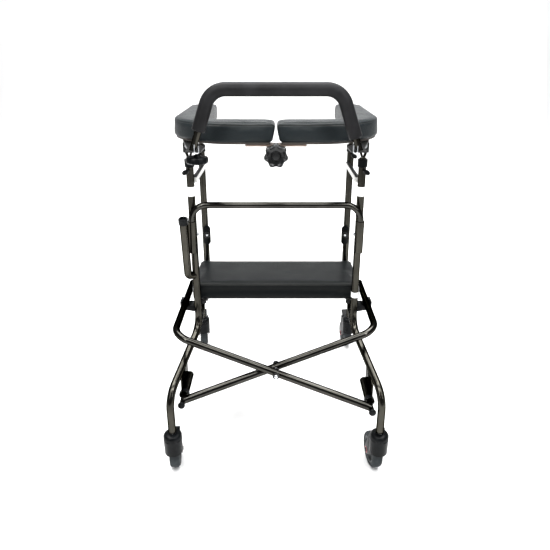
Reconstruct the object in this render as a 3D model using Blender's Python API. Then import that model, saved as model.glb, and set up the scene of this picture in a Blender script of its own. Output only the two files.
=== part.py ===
# Folding forearm walker: two side frames on casters, an X brace with seat rails,
# a flip-up seat, a horseshoe forearm pad in two halves, a push handle and a cane holder.
# Metres, +Z up. The closed front of the horseshoe faces -Y, the user stands at +Y.
# The origin is on the floor, under the middle of the frame.
import math

import bmesh
import bpy
from mathutils import Matrix, Vector

# Driving dimensions
GAP = 0.0003                    # least gap between touching pieces
SHIFT = (0.0025, -0.0248, 0.0)  # brings the origin under the middle of the whole walker

TUBE_R = 0.0111                 # frame tubes, 22.2 mm outside
POST_X = 0.246
FRONT_POST_Y = -0.082
REAR_POST_Y = 0.154
POST_TOP = 0.860
LEG_END = 0.150                 # leg tubes stop here, above the casters
LEG_BEND = 0.060
FRONT_KNEE = 0.345
FRONT_ANKLE = 0.270
FRONT_FOOT = (0.296, -0.339)
REAR_KNEE = 0.420
REAR_ANKLE = 0.225
REAR_FOOT = (0.300, 0.323)
LOWER_TUBE_R = 0.0095
LOWER_TUBE_Z = 0.350
SIDE_BAR_Z = 0.820
SIDE_BAR_W = 0.012
SIDE_BAR_H = 0.016
SIDE_BAR_INSET = 0.0105         # the flat bar is welded on the inner side of the posts

RISER_R = 0.0092                # inner tubes that slide in the posts
RISER_BORE_R = 0.0098
RISER_BOTTOM = 0.660
FORK_BOTTOM = 0.8838
BORE_BOTTOM = 0.650
COLLAR_R = 0.014
COLLAR_H = 0.023
THUMB_Z = 0.849
THUMB_R = 0.0095
THUMB_L = 0.018
THUMB_OUT = (0.37, -0.93)       # the way that the thumb knobs point

FLIP_Z = 0.9225                 # pad hinge axis
EAR_W = 0.026
EAR_T = 0.003
EAR_SPAN = 0.027                # inside distance between the ears
EAR_BOTTOM = 0.9032
BOLT_R = 0.004
PLATE_TOP = 0.9395              # top of the handle bracket's plate
PLATE_T = 0.004

PAD_CLEAR = 0.004               # from the handle bracket's plate up to the pads' boards
PAD_BOTTOM = PLATE_TOP + PAD_CLEAR
BOARD_T = 0.009
PAD_H = 0.056                   # board and cushion together
PAD_TOP = PAD_BOTTOM + PAD_H
PAD_FRONT = -0.205
PAD_BAR_BACK = -0.108
PAD_END = 0.3165
PAD_OUT_FRONT = 0.291
PAD_OUT_END = 0.298
PAD_OUT_ROUND = 0.190           # the horseshoe's large outer corner
PAD_IN_FRONT = 0.187
PAD_IN_END = 0.204
PAD_LIP = 0.0035                # the board stands this far below the cushion's edge
PAD_SPLIT = 0.0015              # half the gap between the two halves
PAD_CROWN = 0.005
PAD_V = 0.0095                  # how far the ends at the middle draw in at the bottom
PAD_V_REACH = 0.030             # and how far from the middle that begins
EDGE_PIECE = 0.110              # straight cushion edges are divided about this finely

STRIP_T = 0.004
STRIP_LENGTH = 0.079
STRIP_BACK = -0.165
TAB_BOTTOM = 0.9035
TAB_WIDTH = 0.024
TAB_EDGE_TOP = 0.0022           # inner edge of the tab, from the middle
TAB_EDGE_LOW = 0.0108           # it leans, to pass the other tab when the frame folds
TAB_SLOT = 0.0125               # depth and half height of the slot for the star knob's bolt
TAB_SLOT_HALF = 0.007
STAR_Z = 0.9188
STAR_R = 0.0320
STAR_DEPTH = 0.029

HANDLE_R = 0.0095
FOAM_R = 0.0170
HANDLE_Y = -0.255
HANDLE_RISE = 0.1441            # height of the handle over its brackets
HANDLE_TOP = PLATE_TOP + HANDLE_RISE
HANDLE_CORNER_X = 0.156
HANDLE_END_X = 0.2056
HANDLE_BEND = 0.050
FOAM_START_LEFT = 0.0465        # bare tube between bracket and foam
FOAM_START_RIGHT = 0.0295
DISC_POS = (-0.199, -0.235)
DISC_R = 0.0285
DISC_T = 0.020
DISC_TOP = 0.9195

BAR_R = 0.0095
BAR_Y = -0.1035
BAR_X = POST_X
BAR_Z = 0.753
BAR_BEND = 0.046
SLEEVE_R = 0.012
SLEEVE_TOP = 0.704
SLEEVE_BOTTOM = 0.606

HOLDER_R = 0.0118
HOLDER_TOP = (-0.2615, -0.150, 0.722)
HOLDER_LOW = (-0.2655, -0.110, 0.550)
HOLDER_CAP_R = 0.0138
HOLDER_CAP_H = 0.018
HOLDER_BORE_R = 0.0092
HOLDER_DEPTH = 0.045

PIVOT_X = 0.270                 # lower pivots of the brace
PIVOT_Z = 0.220
PIVOT_TUBE_L = 0.150
PIVOT_R = 0.0072                # the brace turns on a thinner tube
PIVOT_CAP_R = 0.0105
PIVOT_CAP_L = 0.006
PIVOT_BARE = 0.044              # its length in front of the bearing
PIVOT_FRONT_B = -0.3416
BRACE_OFFSET = 0.030            # the two braces lie this far apart along Y
BEARING_R = 0.0128              # bearing tube on the leg, with a collar at its front
BEARING_COLLAR_R = 0.0150
BEARING_COLLAR_L = 0.012
RAIL_X = 0.303
RAIL_Z = 0.380
RAIL_END_Y = 0.160
SADDLE_FRONT = 0.004
SADDLE_BACK = 0.044
BRACE_B_LOW_Y = -0.322
BRACE_BEND = 0.060
BRACE_BEND_Y = -0.212           # where the diagonal of brace B reaches its bend
BRACE_BEND_REACH = 0.0588       # how far from the rail that is

SEAT_HALF = 0.267
SEAT_FRONT = -0.065
SEAT_BACK = 0.137
SEAT_BOTTOM = 0.4285
SEAT_TOP = 0.483
SEAT_CORNER = 0.013
SEAT_OVERHANG = 0.040           # from the hinge rod to the seat's end
SEAT_HINGE_X = SEAT_HALF - SEAT_OVERHANG
SEAT_HINGE_Z = SEAT_BOTTOM - 0.0055
SEAT_ROD_R = 0.004
SEAT_PLATE_T = 0.004            # plates at the ends of the hinge rod
SEAT_PLATE_H = 0.0065           # half their height
LUG_HALF = 0.008                # blocks under the seat that hold the rod
LUG_L = 0.015

WHEEL_R = 0.0515
TYRE_W = 0.030
HUB_R = 0.0385
TRAIL = 0.040
CASTER_YAW = math.radians(8)
HOOD_R = 0.0265
HOOD_TOP = 0.1455
HOOD_BOTTOM = 0.080
AXLE_R = 0.005
NUT_R = 0.0095
STEM_L = 0.020
BRAKE_Y = 0.035
BRAKE_CLEAR = 0.028             # from the tyre's top up to the lever's pin
BRAKE_Z = 2 * WHEEL_R + BRAKE_CLEAR
BRAKE_W = 0.0165                # half width
FORK_WALL = 0.0045
FORK_ROOM = 0.0025              # between tyre and fork

COLOURS = {
    "tube": (0.085, 0.083, 0.072, 0.32, 1.0),
    "brace_tube": (0.10, 0.10, 0.09, 0.18, 1.0),
    "black_plastic": (0.012, 0.012, 0.013, 0.45, 0.0),
    "black_steel": (0.020, 0.020, 0.020, 0.40, 0.6),
    "foam": (0.018, 0.019, 0.020, 0.60, 0.0),
    "vinyl": (0.030, 0.034, 0.038, 0.42, 0.0),
    "board": (0.020, 0.018, 0.016, 0.70, 0.0),
    "strip_steel": (0.30, 0.24, 0.21, 0.40, 1.0),
    "white_bar": (0.72, 0.72, 0.69, 0.35, 0.3),
    "tyre_rubber": (0.035, 0.038, 0.040, 0.75, 0.0),
    "hub_grey": (0.16, 0.16, 0.15, 0.50, 0.0),
}


def clear_scene():
    for obj in list(bpy.data.objects):
        bpy.data.objects.remove(obj, do_unlink=True)


def material(slot):
    mat = bpy.data.materials.get(slot)
    if mat is None:
        red, green, blue, rough, metal = COLOURS[slot]
        mat = bpy.data.materials.new(slot)
        mat.use_nodes = True
        shader = mat.node_tree.nodes["Principled BSDF"]
        shader.inputs["Base Color"].default_value = (red, green, blue, 1.0)
        shader.inputs["Roughness"].default_value = rough
        shader.inputs["Metallic"].default_value = metal
    return mat


# Bodies: each moving body is an empty on its joint axis, and its pieces are parented to it
PIVOTS = {}


def make_body(name, pivot=(0, 0, 0), parent=None):
    empty = bpy.data.objects.new("axis_" + name, None)
    bpy.context.scene.collection.objects.link(empty)
    place = Vector(pivot)
    if parent:
        empty.parent = bpy.data.objects["axis_" + parent]
        empty.location = place - PIVOTS[parent]
    else:
        empty.location = Vector(SHIFT)
    PIVOTS[name] = place
    return name


def add_piece(name, bm, slot, body, smooth=True):
    bmesh.ops.remove_doubles(bm, verts=bm.verts, dist=1e-6)
    bmesh.ops.recalc_face_normals(bm, faces=bm.faces)
    mesh = bpy.data.meshes.new(name)
    bm.transform(Matrix.Translation(-PIVOTS[body]))
    bm.to_mesh(mesh)
    bm.free()
    obj = bpy.data.objects.new(name, mesh)
    bpy.context.scene.collection.objects.link(obj)
    obj.parent = bpy.data.objects["axis_" + body]
    obj.data.materials.append(material(slot))
    if smooth:
        mesh.shade_smooth()
        mesh.set_sharp_from_angle(angle=math.radians(35))
    return obj


def boolean(obj, bm, operation):
    """Cut a closed bmesh out of obj, or join it on. The bmesh is in the root body's coordinates."""
    bmesh.ops.recalc_face_normals(bm, faces=bm.faces)
    count = sum(1 for other in bpy.data.objects if other.name.startswith("tool_"))
    mesh = bpy.data.meshes.new(f"tool_{count}")
    bm.to_mesh(mesh)
    bm.free()
    tool = bpy.data.objects.new(f"tool_{count}", mesh)
    bpy.context.scene.collection.objects.link(tool)
    tool.parent = bpy.data.objects["axis_left_frame"]
    tool.hide_render = True
    tool.display_type = "WIRE"
    mod = obj.modifiers.new(f"{operation.lower()}_{count}", "BOOLEAN")
    mod.operation = operation
    mod.object = tool
    return mod


# Shapes
def fillet(points, radius, steps=4):
    """A path through the points, with each inner corner rounded to the radius."""
    corners = [Vector(p) for p in points]
    path = [corners[0]]
    for before, corner, after in zip(corners, corners[1:], corners[2:]):
        to_before = (before - corner).normalized()
        to_after = (after - corner).normalized()
        turn = math.pi - to_before.angle(to_after)
        reach = radius * math.tan(turn / 2)
        bisector = (to_before + to_after).normalized()
        centre = corner + bisector * radius / math.cos(turn / 2)
        start = corner + to_before * reach - centre
        end = corner + to_after * reach - centre
        for k in range(steps + 1):
            w = k / steps
            arm = (start * math.sin((1 - w) * turn) + end * math.sin(w * turn)) / math.sin(turn)
            path.append(centre + arm)
    path.append(corners[-1])
    return path


def sweep(points, radius, sides=12, bm=None):
    """A round rod along a path, closed at both ends, with untwisted rings."""
    bm = bm or bmesh.new()
    path = [Vector(p) for p in points]
    tangents = []
    for k in range(len(path)):
        ahead = path[min(k + 1, len(path) - 1)] - path[k]
        behind = path[k] - path[max(k - 1, 0)]
        tangents.append((ahead.normalized() + behind.normalized()).normalized())
    side = tangents[0].orthogonal().normalized()
    if abs(tangents[0].z) > 0.9:
        side = Vector((1, 0, 0))
    rings = []
    for k, (point, tangent) in enumerate(zip(path, tangents)):
        side = (side - tangent * side.dot(tangent)).normalized()
        up = tangent.cross(side)
        stretch = 1.0
        if 0 < k < len(path) - 1:
            half_turn = (path[k] - path[k - 1]).angle(path[k + 1] - path[k]) / 2
            stretch = 1 / math.cos(half_turn)
        bend_dir = Vector((0, 0, 0))
        if 0 < k < len(path) - 1:
            bend_dir = (path[k + 1] - path[k]).normalized() - (path[k] - path[k - 1]).normalized()
        ring = []
        for j in range(sides):
            angle = 2 * math.pi * (j + 0.5) / sides
            offset = (side * math.cos(angle) + up * math.sin(angle)) * radius
            if bend_dir.length > 1e-6:
                axis = bend_dir.normalized()
                offset += axis * offset.dot(axis) * (stretch - 1)
            ring.append(bm.verts.new(point + offset))
        rings.append(ring)
    for low, high in zip(rings, rings[1:]):
        for j in range(sides):
            n = (j + 1) % sides
            bm.faces.new((low[j], low[n], high[n], high[j]))
    bm.faces.new(list(reversed(rings[0])))
    bm.faces.new(rings[-1])
    return bm


def turned(profile, origin, axis, sides=16, first=None):
    """A solid turned about an axis. Profile points are (distance along the axis, radius).

    A profile that ends where it starts makes a ring. The corners start at the direction first.
    """
    bm = bmesh.new()
    along = Vector(axis).normalized()
    side = Vector(first) if first else along.orthogonal().normalized()
    up = along.cross(side)
    closed = profile[0] == profile[-1]
    rings = []
    for distance, radius in profile[:-1] if closed else profile:
        centre = Vector(origin) + along * distance
        angles = [2 * math.pi * j / sides for j in range(sides)]
        rings.append([bm.verts.new(centre + (side * math.cos(a) + up * math.sin(a)) * radius)
                      for a in angles])
    for low, high in zip(rings, rings[1:] + rings[:1] if closed else rings[1:]):
        for j in range(sides):
            n = (j + 1) % sides
            bm.faces.new((low[j], low[n], high[n], high[j]))
    if not closed:
        bm.faces.new(list(reversed(rings[0])))
        bm.faces.new(rings[-1])
    return bm


def box(low, high, bm=None):
    bm = bm or bmesh.new()
    centre = [(a + b) / 2 for a, b in zip(low, high)]
    size = [b - a for a, b in zip(low, high)]
    bmesh.ops.create_cube(bm, size=1, matrix=Matrix.Translation(centre) @ Matrix.Diagonal((*size, 1)))
    return bm


def prism(outline, axis, low, high, bm=None):
    """A flat outline pushed along a row axis. Outline points skip that axis."""
    bm = bm or bmesh.new()

    def spot(pair, level):
        values = list(pair)
        values.insert("XYZ".index(axis), level)
        return values

    bottom = [bm.verts.new(spot(p, low)) for p in outline]
    top = [bm.verts.new(spot(p, high)) for p in outline]
    bm.faces.new(list(reversed(bottom)))
    bm.faces.new(top)
    for j in range(len(outline)):
        n = (j + 1) % len(outline)
        bm.faces.new((bottom[j], bottom[n], top[n], top[j]))
    return bm


def circle_points(centre, radius, start, end, count):
    return [(centre[0] + radius * math.cos(start + (end - start) * k / count),
             centre[1] + radius * math.sin(start + (end - start) * k / count))
            for k in range(count + 1)]


def moved_corners(corners, inset):
    """The corners of a polygon whose edges are moved inwards. It runs counter-clockwise."""
    moved = []
    for k, (x, y, _) in enumerate(corners):
        corner = Vector((x, y))
        before = (corner - Vector(corners[k - 1][:2])).normalized()
        after = (Vector(corners[(k + 1) % len(corners)][:2]) - corner).normalized()
        normal = Vector((-after.y, after.x))
        shift = Vector((-before.y - after.y, before.x + after.x)).normalized()
        moved.append(corner + shift * inset / shift.dot(normal))
    return moved


def rounded_outline(corners, inset=0.0):
    """A closed flat outline from corners (x, y, radius), with every edge moved in by the inset."""
    points = moved_corners(corners, inset)
    arcs = []
    for k, (_, _, radius) in enumerate(corners):
        before, corner, after = points[k - 1], points[k], points[(k + 1) % len(points)]
        convex = (corner - before).cross(after - corner) > 0
        radius = max(radius - inset, 0.002) if convex else radius + inset
        steps = 10 if corners[k][2] > 0.04 else 4
        arcs.append([p.xy for p in fillet([before.to_3d(), corner.to_3d(), after.to_3d()],
                                          radius, steps)[1:-1]])
    outline = []
    for k, arc in enumerate(arcs):
        following = arcs[(k + 1) % len(arcs)][0]
        edge = (Vector(corners[(k + 1) % len(corners)][:2]) - Vector(corners[k][:2])).length
        pieces = max(1, round(edge / EDGE_PIECE))
        outline += arc
        outline += [arc[-1].lerp(following, j / pieces) for j in range(1, pieces)]
    return outline


def loft(rings, bm=None):
    """A closed solid through stacked rings of equal count, first ring at the bottom."""
    bm = bm or bmesh.new()
    levels = [[bm.verts.new(p) for p in ring] for ring in rings]
    count = len(rings[0])
    for low, high in zip(levels, levels[1:]):
        for j in range(count):
            n = (j + 1) % count
            bm.faces.new((low[j], low[n], high[n], high[j]))
    bm.faces.new(list(reversed(levels[0])))
    bm.faces.new(levels[-1])
    return bm


# Side frames
def front_leg(side, sign):
    path = fillet([(sign * POST_X, FRONT_POST_Y, POST_TOP), (sign * POST_X, FRONT_POST_Y, FRONT_KNEE),
                   (sign * FRONT_FOOT[0], FRONT_FOOT[1], FRONT_ANKLE),
                   (sign * FRONT_FOOT[0], FRONT_FOOT[1], LEG_END)], LEG_BEND)
    leg = add_piece(f"{side}_front_leg", sweep(path, TUBE_R), "tube", f"{side}_frame")

    # Crossbar sleeve on the front of the post
    sleeve = turned([(0, SLEEVE_R), (SLEEVE_TOP - SLEEVE_BOTTOM, SLEEVE_R)],
                    (sign * BAR_X, BAR_Y, SLEEVE_BOTTOM), (0, 0, 1), 14)
    boolean(leg, sleeve, "UNION")

    # The bearing tube for the brace's lower pivot hangs on a plate under the leg
    low, high = brace_bearing_ends(side)
    plate_low = PIVOT_Z + BEARING_R * 0.55
    leg_at = (lambda y: FRONT_KNEE + (FRONT_ANKLE - FRONT_KNEE)
              * (y - FRONT_POST_Y) / (FRONT_FOOT[1] - FRONT_POST_Y))
    outline = [(low, plate_low), (high, plate_low), (high, leg_at(high) - TUBE_R * 0.4),
               (low, leg_at(low) - TUBE_R * 0.4)]
    plate_x = sign * (PIVOT_X + BEARING_R * 0.6)
    boolean(leg, prism(outline, "X", min(plate_x, plate_x - sign * 0.004),
                       max(plate_x, plate_x - sign * 0.004)), "UNION")
    bearing = [(0, BEARING_COLLAR_R), (BEARING_COLLAR_L, BEARING_COLLAR_R), (BEARING_COLLAR_L, BEARING_R),
               (high - low, BEARING_R)]
    boolean(leg, turned(bearing, (sign * PIVOT_X, low, PIVOT_Z), (0, 1, 0), 16), "UNION")

    caster_stem(leg, sign, FRONT_FOOT)

    # Bores: the riser in the post, the crossbar in its sleeve, the brace pivot in its bearing
    boolean(leg, turned([(0, RISER_BORE_R), (POST_TOP + 0.01 - BORE_BOTTOM, RISER_BORE_R)],
                        (sign * POST_X, FRONT_POST_Y, BORE_BOTTOM), (0, 0, 1), 16), "DIFFERENCE")
    boolean(leg, turned([(0, BAR_R + 2 * GAP), (SLEEVE_TOP - SLEEVE_BOTTOM + 0.02, BAR_R + 2 * GAP)],
                        (sign * BAR_X, BAR_Y, SLEEVE_BOTTOM - 0.01), (0, 0, 1), 16), "DIFFERENCE")
    boolean(leg, turned([(0, PIVOT_R + 2 * GAP), (0.2, PIVOT_R + 2 * GAP)],
                        (sign * PIVOT_X, PIVOT_FRONT_B - 0.01, PIVOT_Z), (0, 1, 0), 16), "DIFFERENCE")
    return leg


def rear_leg(side, sign):
    path = fillet([(sign * POST_X, REAR_POST_Y, POST_TOP), (sign * POST_X, REAR_POST_Y, REAR_KNEE),
                   (sign * REAR_FOOT[0], REAR_FOOT[1], REAR_ANKLE),
                   (sign * REAR_FOOT[0], REAR_FOOT[1], LEG_END)], LEG_BEND)
    leg = add_piece(f"{side}_rear_leg", sweep(path, TUBE_R), "tube", f"{side}_frame")
    share = (REAR_KNEE - LOWER_TUBE_Z) / (REAR_KNEE - REAR_ANKLE)
    joint = (sign * (POST_X + (REAR_FOOT[0] - POST_X) * share),
             REAR_POST_Y + (REAR_FOOT[1] - REAR_POST_Y) * share, LOWER_TUBE_Z)
    start = (sign * POST_X, FRONT_POST_Y + TUBE_R * 0.5, LOWER_TUBE_Z)
    boolean(leg, sweep([start, joint], LOWER_TUBE_R), "UNION")
    caster_stem(leg, sign, REAR_FOOT)
    boolean(leg, turned([(0, RISER_BORE_R), (POST_TOP + 0.01 - BORE_BOTTOM, RISER_BORE_R)],
                        (sign * POST_X, REAR_POST_Y, BORE_BOTTOM), (0, 0, 1), 16), "DIFFERENCE")
    # The lower tube is coped to the front leg
    path = fillet([(sign * POST_X, FRONT_POST_Y, POST_TOP), (sign * POST_X, FRONT_POST_Y, FRONT_KNEE),
                   (sign * FRONT_FOOT[0], FRONT_FOOT[1], FRONT_ANKLE),
                   (sign * FRONT_FOOT[0], FRONT_FOOT[1], LEG_END)], LEG_BEND)
    boolean(leg, sweep(path, TUBE_R + GAP), "DIFFERENCE")
    return leg


def caster_stem(leg, sign, foot):
    """The caster's hex nut and stem, fixed in the end of the leg."""
    profile = [(HOOD_TOP - STEM_L, AXLE_R), (HOOD_TOP + GAP, AXLE_R), (HOOD_TOP + GAP, NUT_R),
               (LEG_END + 0.0005, NUT_R), (LEG_END + 0.0005, AXLE_R), (LEG_END + 0.010, AXLE_R)]
    boolean(leg, turned(profile, (sign * foot[0], foot[1], 0), (0, 0, 1), 12), "UNION")


def side_bar(side, sign):
    x = sign * (POST_X - SIDE_BAR_INSET)
    bar = add_piece(f"{side}_side_bar",
                    box((x - SIDE_BAR_W / 2, FRONT_POST_Y, SIDE_BAR_Z - SIDE_BAR_H / 2),
                        (x + SIDE_BAR_W / 2, REAR_POST_Y, SIDE_BAR_Z + SIDE_BAR_H / 2)),
                    "white_bar", f"{side}_frame", smooth=False)
    for y in (FRONT_POST_Y, REAR_POST_Y):
        boolean(bar, turned([(0, TUBE_R + GAP), (0.06, TUBE_R + GAP)],
                            (sign * POST_X, y, SIDE_BAR_Z - 0.03), (0, 0, 1), 16), "DIFFERENCE")


def saddle(side, sign):
    """The hook under the seat rail: it stands on the lower tube and cups the rail."""
    low = LOWER_TUBE_Z - LOWER_TUBE_R * 0.6
    seat = RAIL_Z - TUBE_R - GAP
    inner = RAIL_X - TUBE_R - 2 * GAP - 0.006
    outer = RAIL_X + TUBE_R + 2 * GAP + 0.006
    outline = [(POST_X + LOWER_TUBE_R * 0.2, low), (outer, low + 0.012), (outer, RAIL_Z + 0.004),
               (outer - 0.006, RAIL_Z + 0.004), (outer - 0.006, seat), (inner + 0.006, seat),
               (inner + 0.006, RAIL_Z - 0.010), (POST_X + LOWER_TUBE_R * 0.2, RAIL_Z - 0.014)]
    outline = [(sign * x, z) for x, z in outline]
    hook = add_piece(f"{side}_rail_saddle", prism(outline, "Y", SADDLE_FRONT, SADDLE_BACK), "black_plastic",
                     f"{side}_frame", smooth=False)
    share = (REAR_KNEE - LOWER_TUBE_Z) / (REAR_KNEE - REAR_ANKLE)
    joint = (sign * (POST_X + (REAR_FOOT[0] - POST_X) * share),
             REAR_POST_Y + (REAR_FOOT[1] - REAR_POST_Y) * share, LOWER_TUBE_Z)
    start = (sign * POST_X, FRONT_POST_Y, LOWER_TUBE_Z)
    boolean(hook, sweep([start, joint], LOWER_TUBE_R + GAP), "DIFFERENCE")


def collar(side, sign, end, y):
    bm = turned([(0, RISER_BORE_R), (0, COLLAR_R), (COLLAR_H, COLLAR_R), (COLLAR_H, RISER_BORE_R),
                 (0, RISER_BORE_R)], (sign * POST_X, y, POST_TOP + GAP), (0, 0, 1), 20)
    add_piece(f"{side}_{end}_collar", bm, "black_plastic", f"{side}_frame")


def thumb_knob(side, sign, end, y):
    centre = Vector((sign * POST_X, y, THUMB_Z))
    name = make_body(f"{side}_{end}_thumb", centre, f"{side}_frame")
    out = Vector((sign * THUMB_OUT[0], THUMB_OUT[1], 0)).normalized()
    start = centre + out * (TUBE_R + GAP)
    profile = [(0, 0.006), (0.004, 0.006), (0.0045, THUMB_R), (THUMB_L, THUMB_R),
               (THUMB_L + 0.002, THUMB_R * 0.75)]
    add_piece(f"{side}_{end}_thumb_knob", turned(profile, start, out, 10), "black_plastic", name)


def seat_bracket(side, sign):
    """A rod along Y with a plate at each end, on the faces of the posts."""
    front = FRONT_POST_Y + TUBE_R + GAP
    back = REAR_POST_Y - TUBE_R - GAP
    centre = (sign * SEAT_HINGE_X, front + SEAT_PLATE_T / 2, SEAT_HINGE_Z)
    # The plates run from the rod to the post, on whichever side of the rod the post stands
    out = sign if POST_X > SEAT_HINGE_X else -sign
    rod = turned([(0, SEAT_ROD_R), (back - front - SEAT_PLATE_T, SEAT_ROD_R)], centre, (0, 1, 0), 14)
    piece = add_piece(f"{side}_seat_bracket", rod, "black_steel", f"{side}_frame")
    for low in (front, back - SEAT_PLATE_T):
        outline = circle_points((sign * SEAT_HINGE_X, SEAT_HINGE_Z), SEAT_PLATE_H,
                                math.pi / 2, math.pi / 2 - out * math.pi, 8)
        reach = sign * POST_X + out * TUBE_R * 0.7
        outline = [(reach, SEAT_HINGE_Z + SEAT_PLATE_H), *[(2 * sign * SEAT_HINGE_X - x, z) for x, z in outline],
                   (reach, SEAT_HINGE_Z - SEAT_PLATE_H)]
        boolean(piece, prism(outline, "Y", low, low + SEAT_PLATE_T), "UNION")


def clip_plate(side, sign):
    """The oval plate with a bolt on the front of the rear post."""
    face = REAR_POST_Y - TUBE_R - GAP
    half, straight = 0.0125, 0.0225
    x, z = sign * (POST_X - 0.007), 0.572
    outline = (circle_points((x, z + straight), half, 0, math.pi, 8)
               + circle_points((x, z - straight), half, math.pi, 2 * math.pi, 8))
    piece = add_piece(f"{side}_clip_plate", prism(outline, "Y", face - 0.003, face), "black_plastic",
                      f"{side}_frame")
    boolean(piece, turned([(0, 0.006), (0.0035, 0.006)], (sign * POST_X, face - 0.005, z), (0, 1, 0), 10),
            "UNION")


def cane_holder():
    top, low = Vector(HOLDER_TOP), Vector(HOLDER_LOW)
    down = (low - top).normalized()
    post = (-POST_X, FRONT_POST_Y, HOLDER_LOW[2] - 0.028)
    path = fillet([top, low + down * 0.020, post], 0.018, 4)
    tube = add_piece("cane_holder_tube", sweep(path, HOLDER_R), "tube", "left_frame")
    boolean(tube, turned([(-0.01, HOLDER_BORE_R), (HOLDER_DEPTH, HOLDER_BORE_R)], top, down, 16),
            "DIFFERENCE")
    boolean(tube, turned([(0, TUBE_R + GAP), (0.1, TUBE_R + GAP)],
                         (-POST_X, FRONT_POST_Y, HOLDER_LOW[2] - 0.08), (0, 0, 1), 16), "DIFFERENCE")
    cap = turned([(0, HOLDER_R + GAP), (0, HOLDER_CAP_R), (HOLDER_CAP_H, HOLDER_CAP_R),
                  (HOLDER_CAP_H, HOLDER_BORE_R), (HOLDER_CAP_H - 0.006, HOLDER_BORE_R),
                  (HOLDER_CAP_H - 0.006, HOLDER_R + GAP), (0, HOLDER_R + GAP)],
                 top + down * (HOLDER_CAP_H - 0.006 - GAP), -down, 20)
    add_piece("cane_holder_cap", cap, "black_plastic", "left_frame")


# Brace
def brace_pivot_front(side):
    """Front face of the pivot tube: the brace on the left pivot lies further back."""
    return PIVOT_FRONT_B + (BRACE_OFFSET if side == "left" else 0)


def brace_bearing_ends(side):
    front = brace_pivot_front(side)
    return front + PIVOT_BARE, front + PIVOT_TUBE_L - 0.004


def brace(name, side, sign):
    """A bent tube: lower pivot tube, diagonal, and the seat rail on the far side."""
    shift = BRACE_OFFSET if side == "left" else 0
    pivot = Vector((sign * PIVOT_X, BRACE_B_LOW_Y + shift, PIVOT_Z))
    rail_x = -sign * RAIL_X
    corner_y = BRACE_BEND_Y + shift
    slope = (RAIL_Z - PIVOT_Z) / (RAIL_X + PIVOT_X)
    lean = (corner_y - pivot.y) / (PIVOT_X + RAIL_X - BRACE_BEND_REACH)
    corner = Vector((rail_x, pivot.y + lean * (PIVOT_X + RAIL_X), PIVOT_Z + slope * (PIVOT_X + RAIL_X)))
    path = fillet([pivot, corner, (rail_x, RAIL_END_Y, RAIL_Z)], BRACE_BEND, 5)
    tube = add_piece(name, sweep(path, TUBE_R), "brace_tube", name + "_body")
    front = brace_pivot_front(side)
    boolean(tube, turned([(0, PIVOT_R), (PIVOT_TUBE_L, PIVOT_R)], (sign * PIVOT_X, front, PIVOT_Z),
                         (0, 1, 0), 14), "UNION")
    cap = turned([(0, PIVOT_CAP_R * 0.85), (PIVOT_CAP_L * 0.5, PIVOT_CAP_R), (PIVOT_CAP_L, PIVOT_CAP_R)],
                 (sign * PIVOT_X, front - PIVOT_CAP_L - GAP, PIVOT_Z), (0, 1, 0), 14)
    add_piece(name + "_end_cap", cap, "black_plastic", name + "_body")
    centre_y = pivot.y + lean * PIVOT_X
    boolean(tube, turned([(0, BOLT_R + 2 * GAP), (0.08, BOLT_R + 2 * GAP)],
                         (0, centre_y - 0.04, PIVOT_Z + slope * PIVOT_X), (0, 1, 0), 16), "DIFFERENCE")
    return centre_y


def brace_bolt(front_y, back_y):
    z = PIVOT_Z + (RAIL_Z - PIVOT_Z) / (RAIL_X + PIVOT_X) * PIVOT_X
    spread = TUBE_R + 0.0028
    middle = (front_y + back_y) / 2
    spacer = (back_y - front_y) / 2 - TUBE_R - 0.0018
    start, end = front_y - spread - 0.009, back_y + spread + 0.009
    profile = [(start, 0.0055), (start + 0.005, 0.0055), (start + 0.006, 0.010), (start + 0.009, 0.010),
               (start + 0.009, BOLT_R), (middle - spacer, BOLT_R), (middle - spacer, 0.0065),
               (middle + spacer, 0.0065), (middle + spacer, BOLT_R), (end - 0.009, BOLT_R),
               (end - 0.009, 0.010), (end - 0.005, 0.010), (end - 0.005, 0.0055), (end, 0.0055)]
    add_piece("brace_bolt", turned(profile, (0, 0, z), (0, 1, 0), 10), "black_steel", "brace_a_body")


# Upper assemblies: risers, pad hinges and handle brackets
def riser(side, sign, end, y):
    bm = turned([(0, RISER_R), (FORK_BOTTOM + 0.0022 - RISER_BOTTOM, RISER_R)], (sign * POST_X, y, RISER_BOTTOM),
                (0, 0, 1), 16)
    tube = add_piece(f"{side}_{end}_riser", bm, "tube", f"{side}_upper")
    for lean in (-1, 1):
        fork = box((-0.0028, y - 0.0075, 0), (0.0028, y + 0.0075, EAR_BOTTOM - FORK_BOTTOM))
        shear = Matrix.Identity(4)
        shear[0][2] = lean * 0.40
        bmesh.ops.transform(fork, matrix=Matrix.Translation((sign * POST_X + lean * 0.0012, 0, FORK_BOTTOM))
                            @ shear, verts=fork.verts)
        boolean(tube, fork, "UNION")
    return tube


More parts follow.
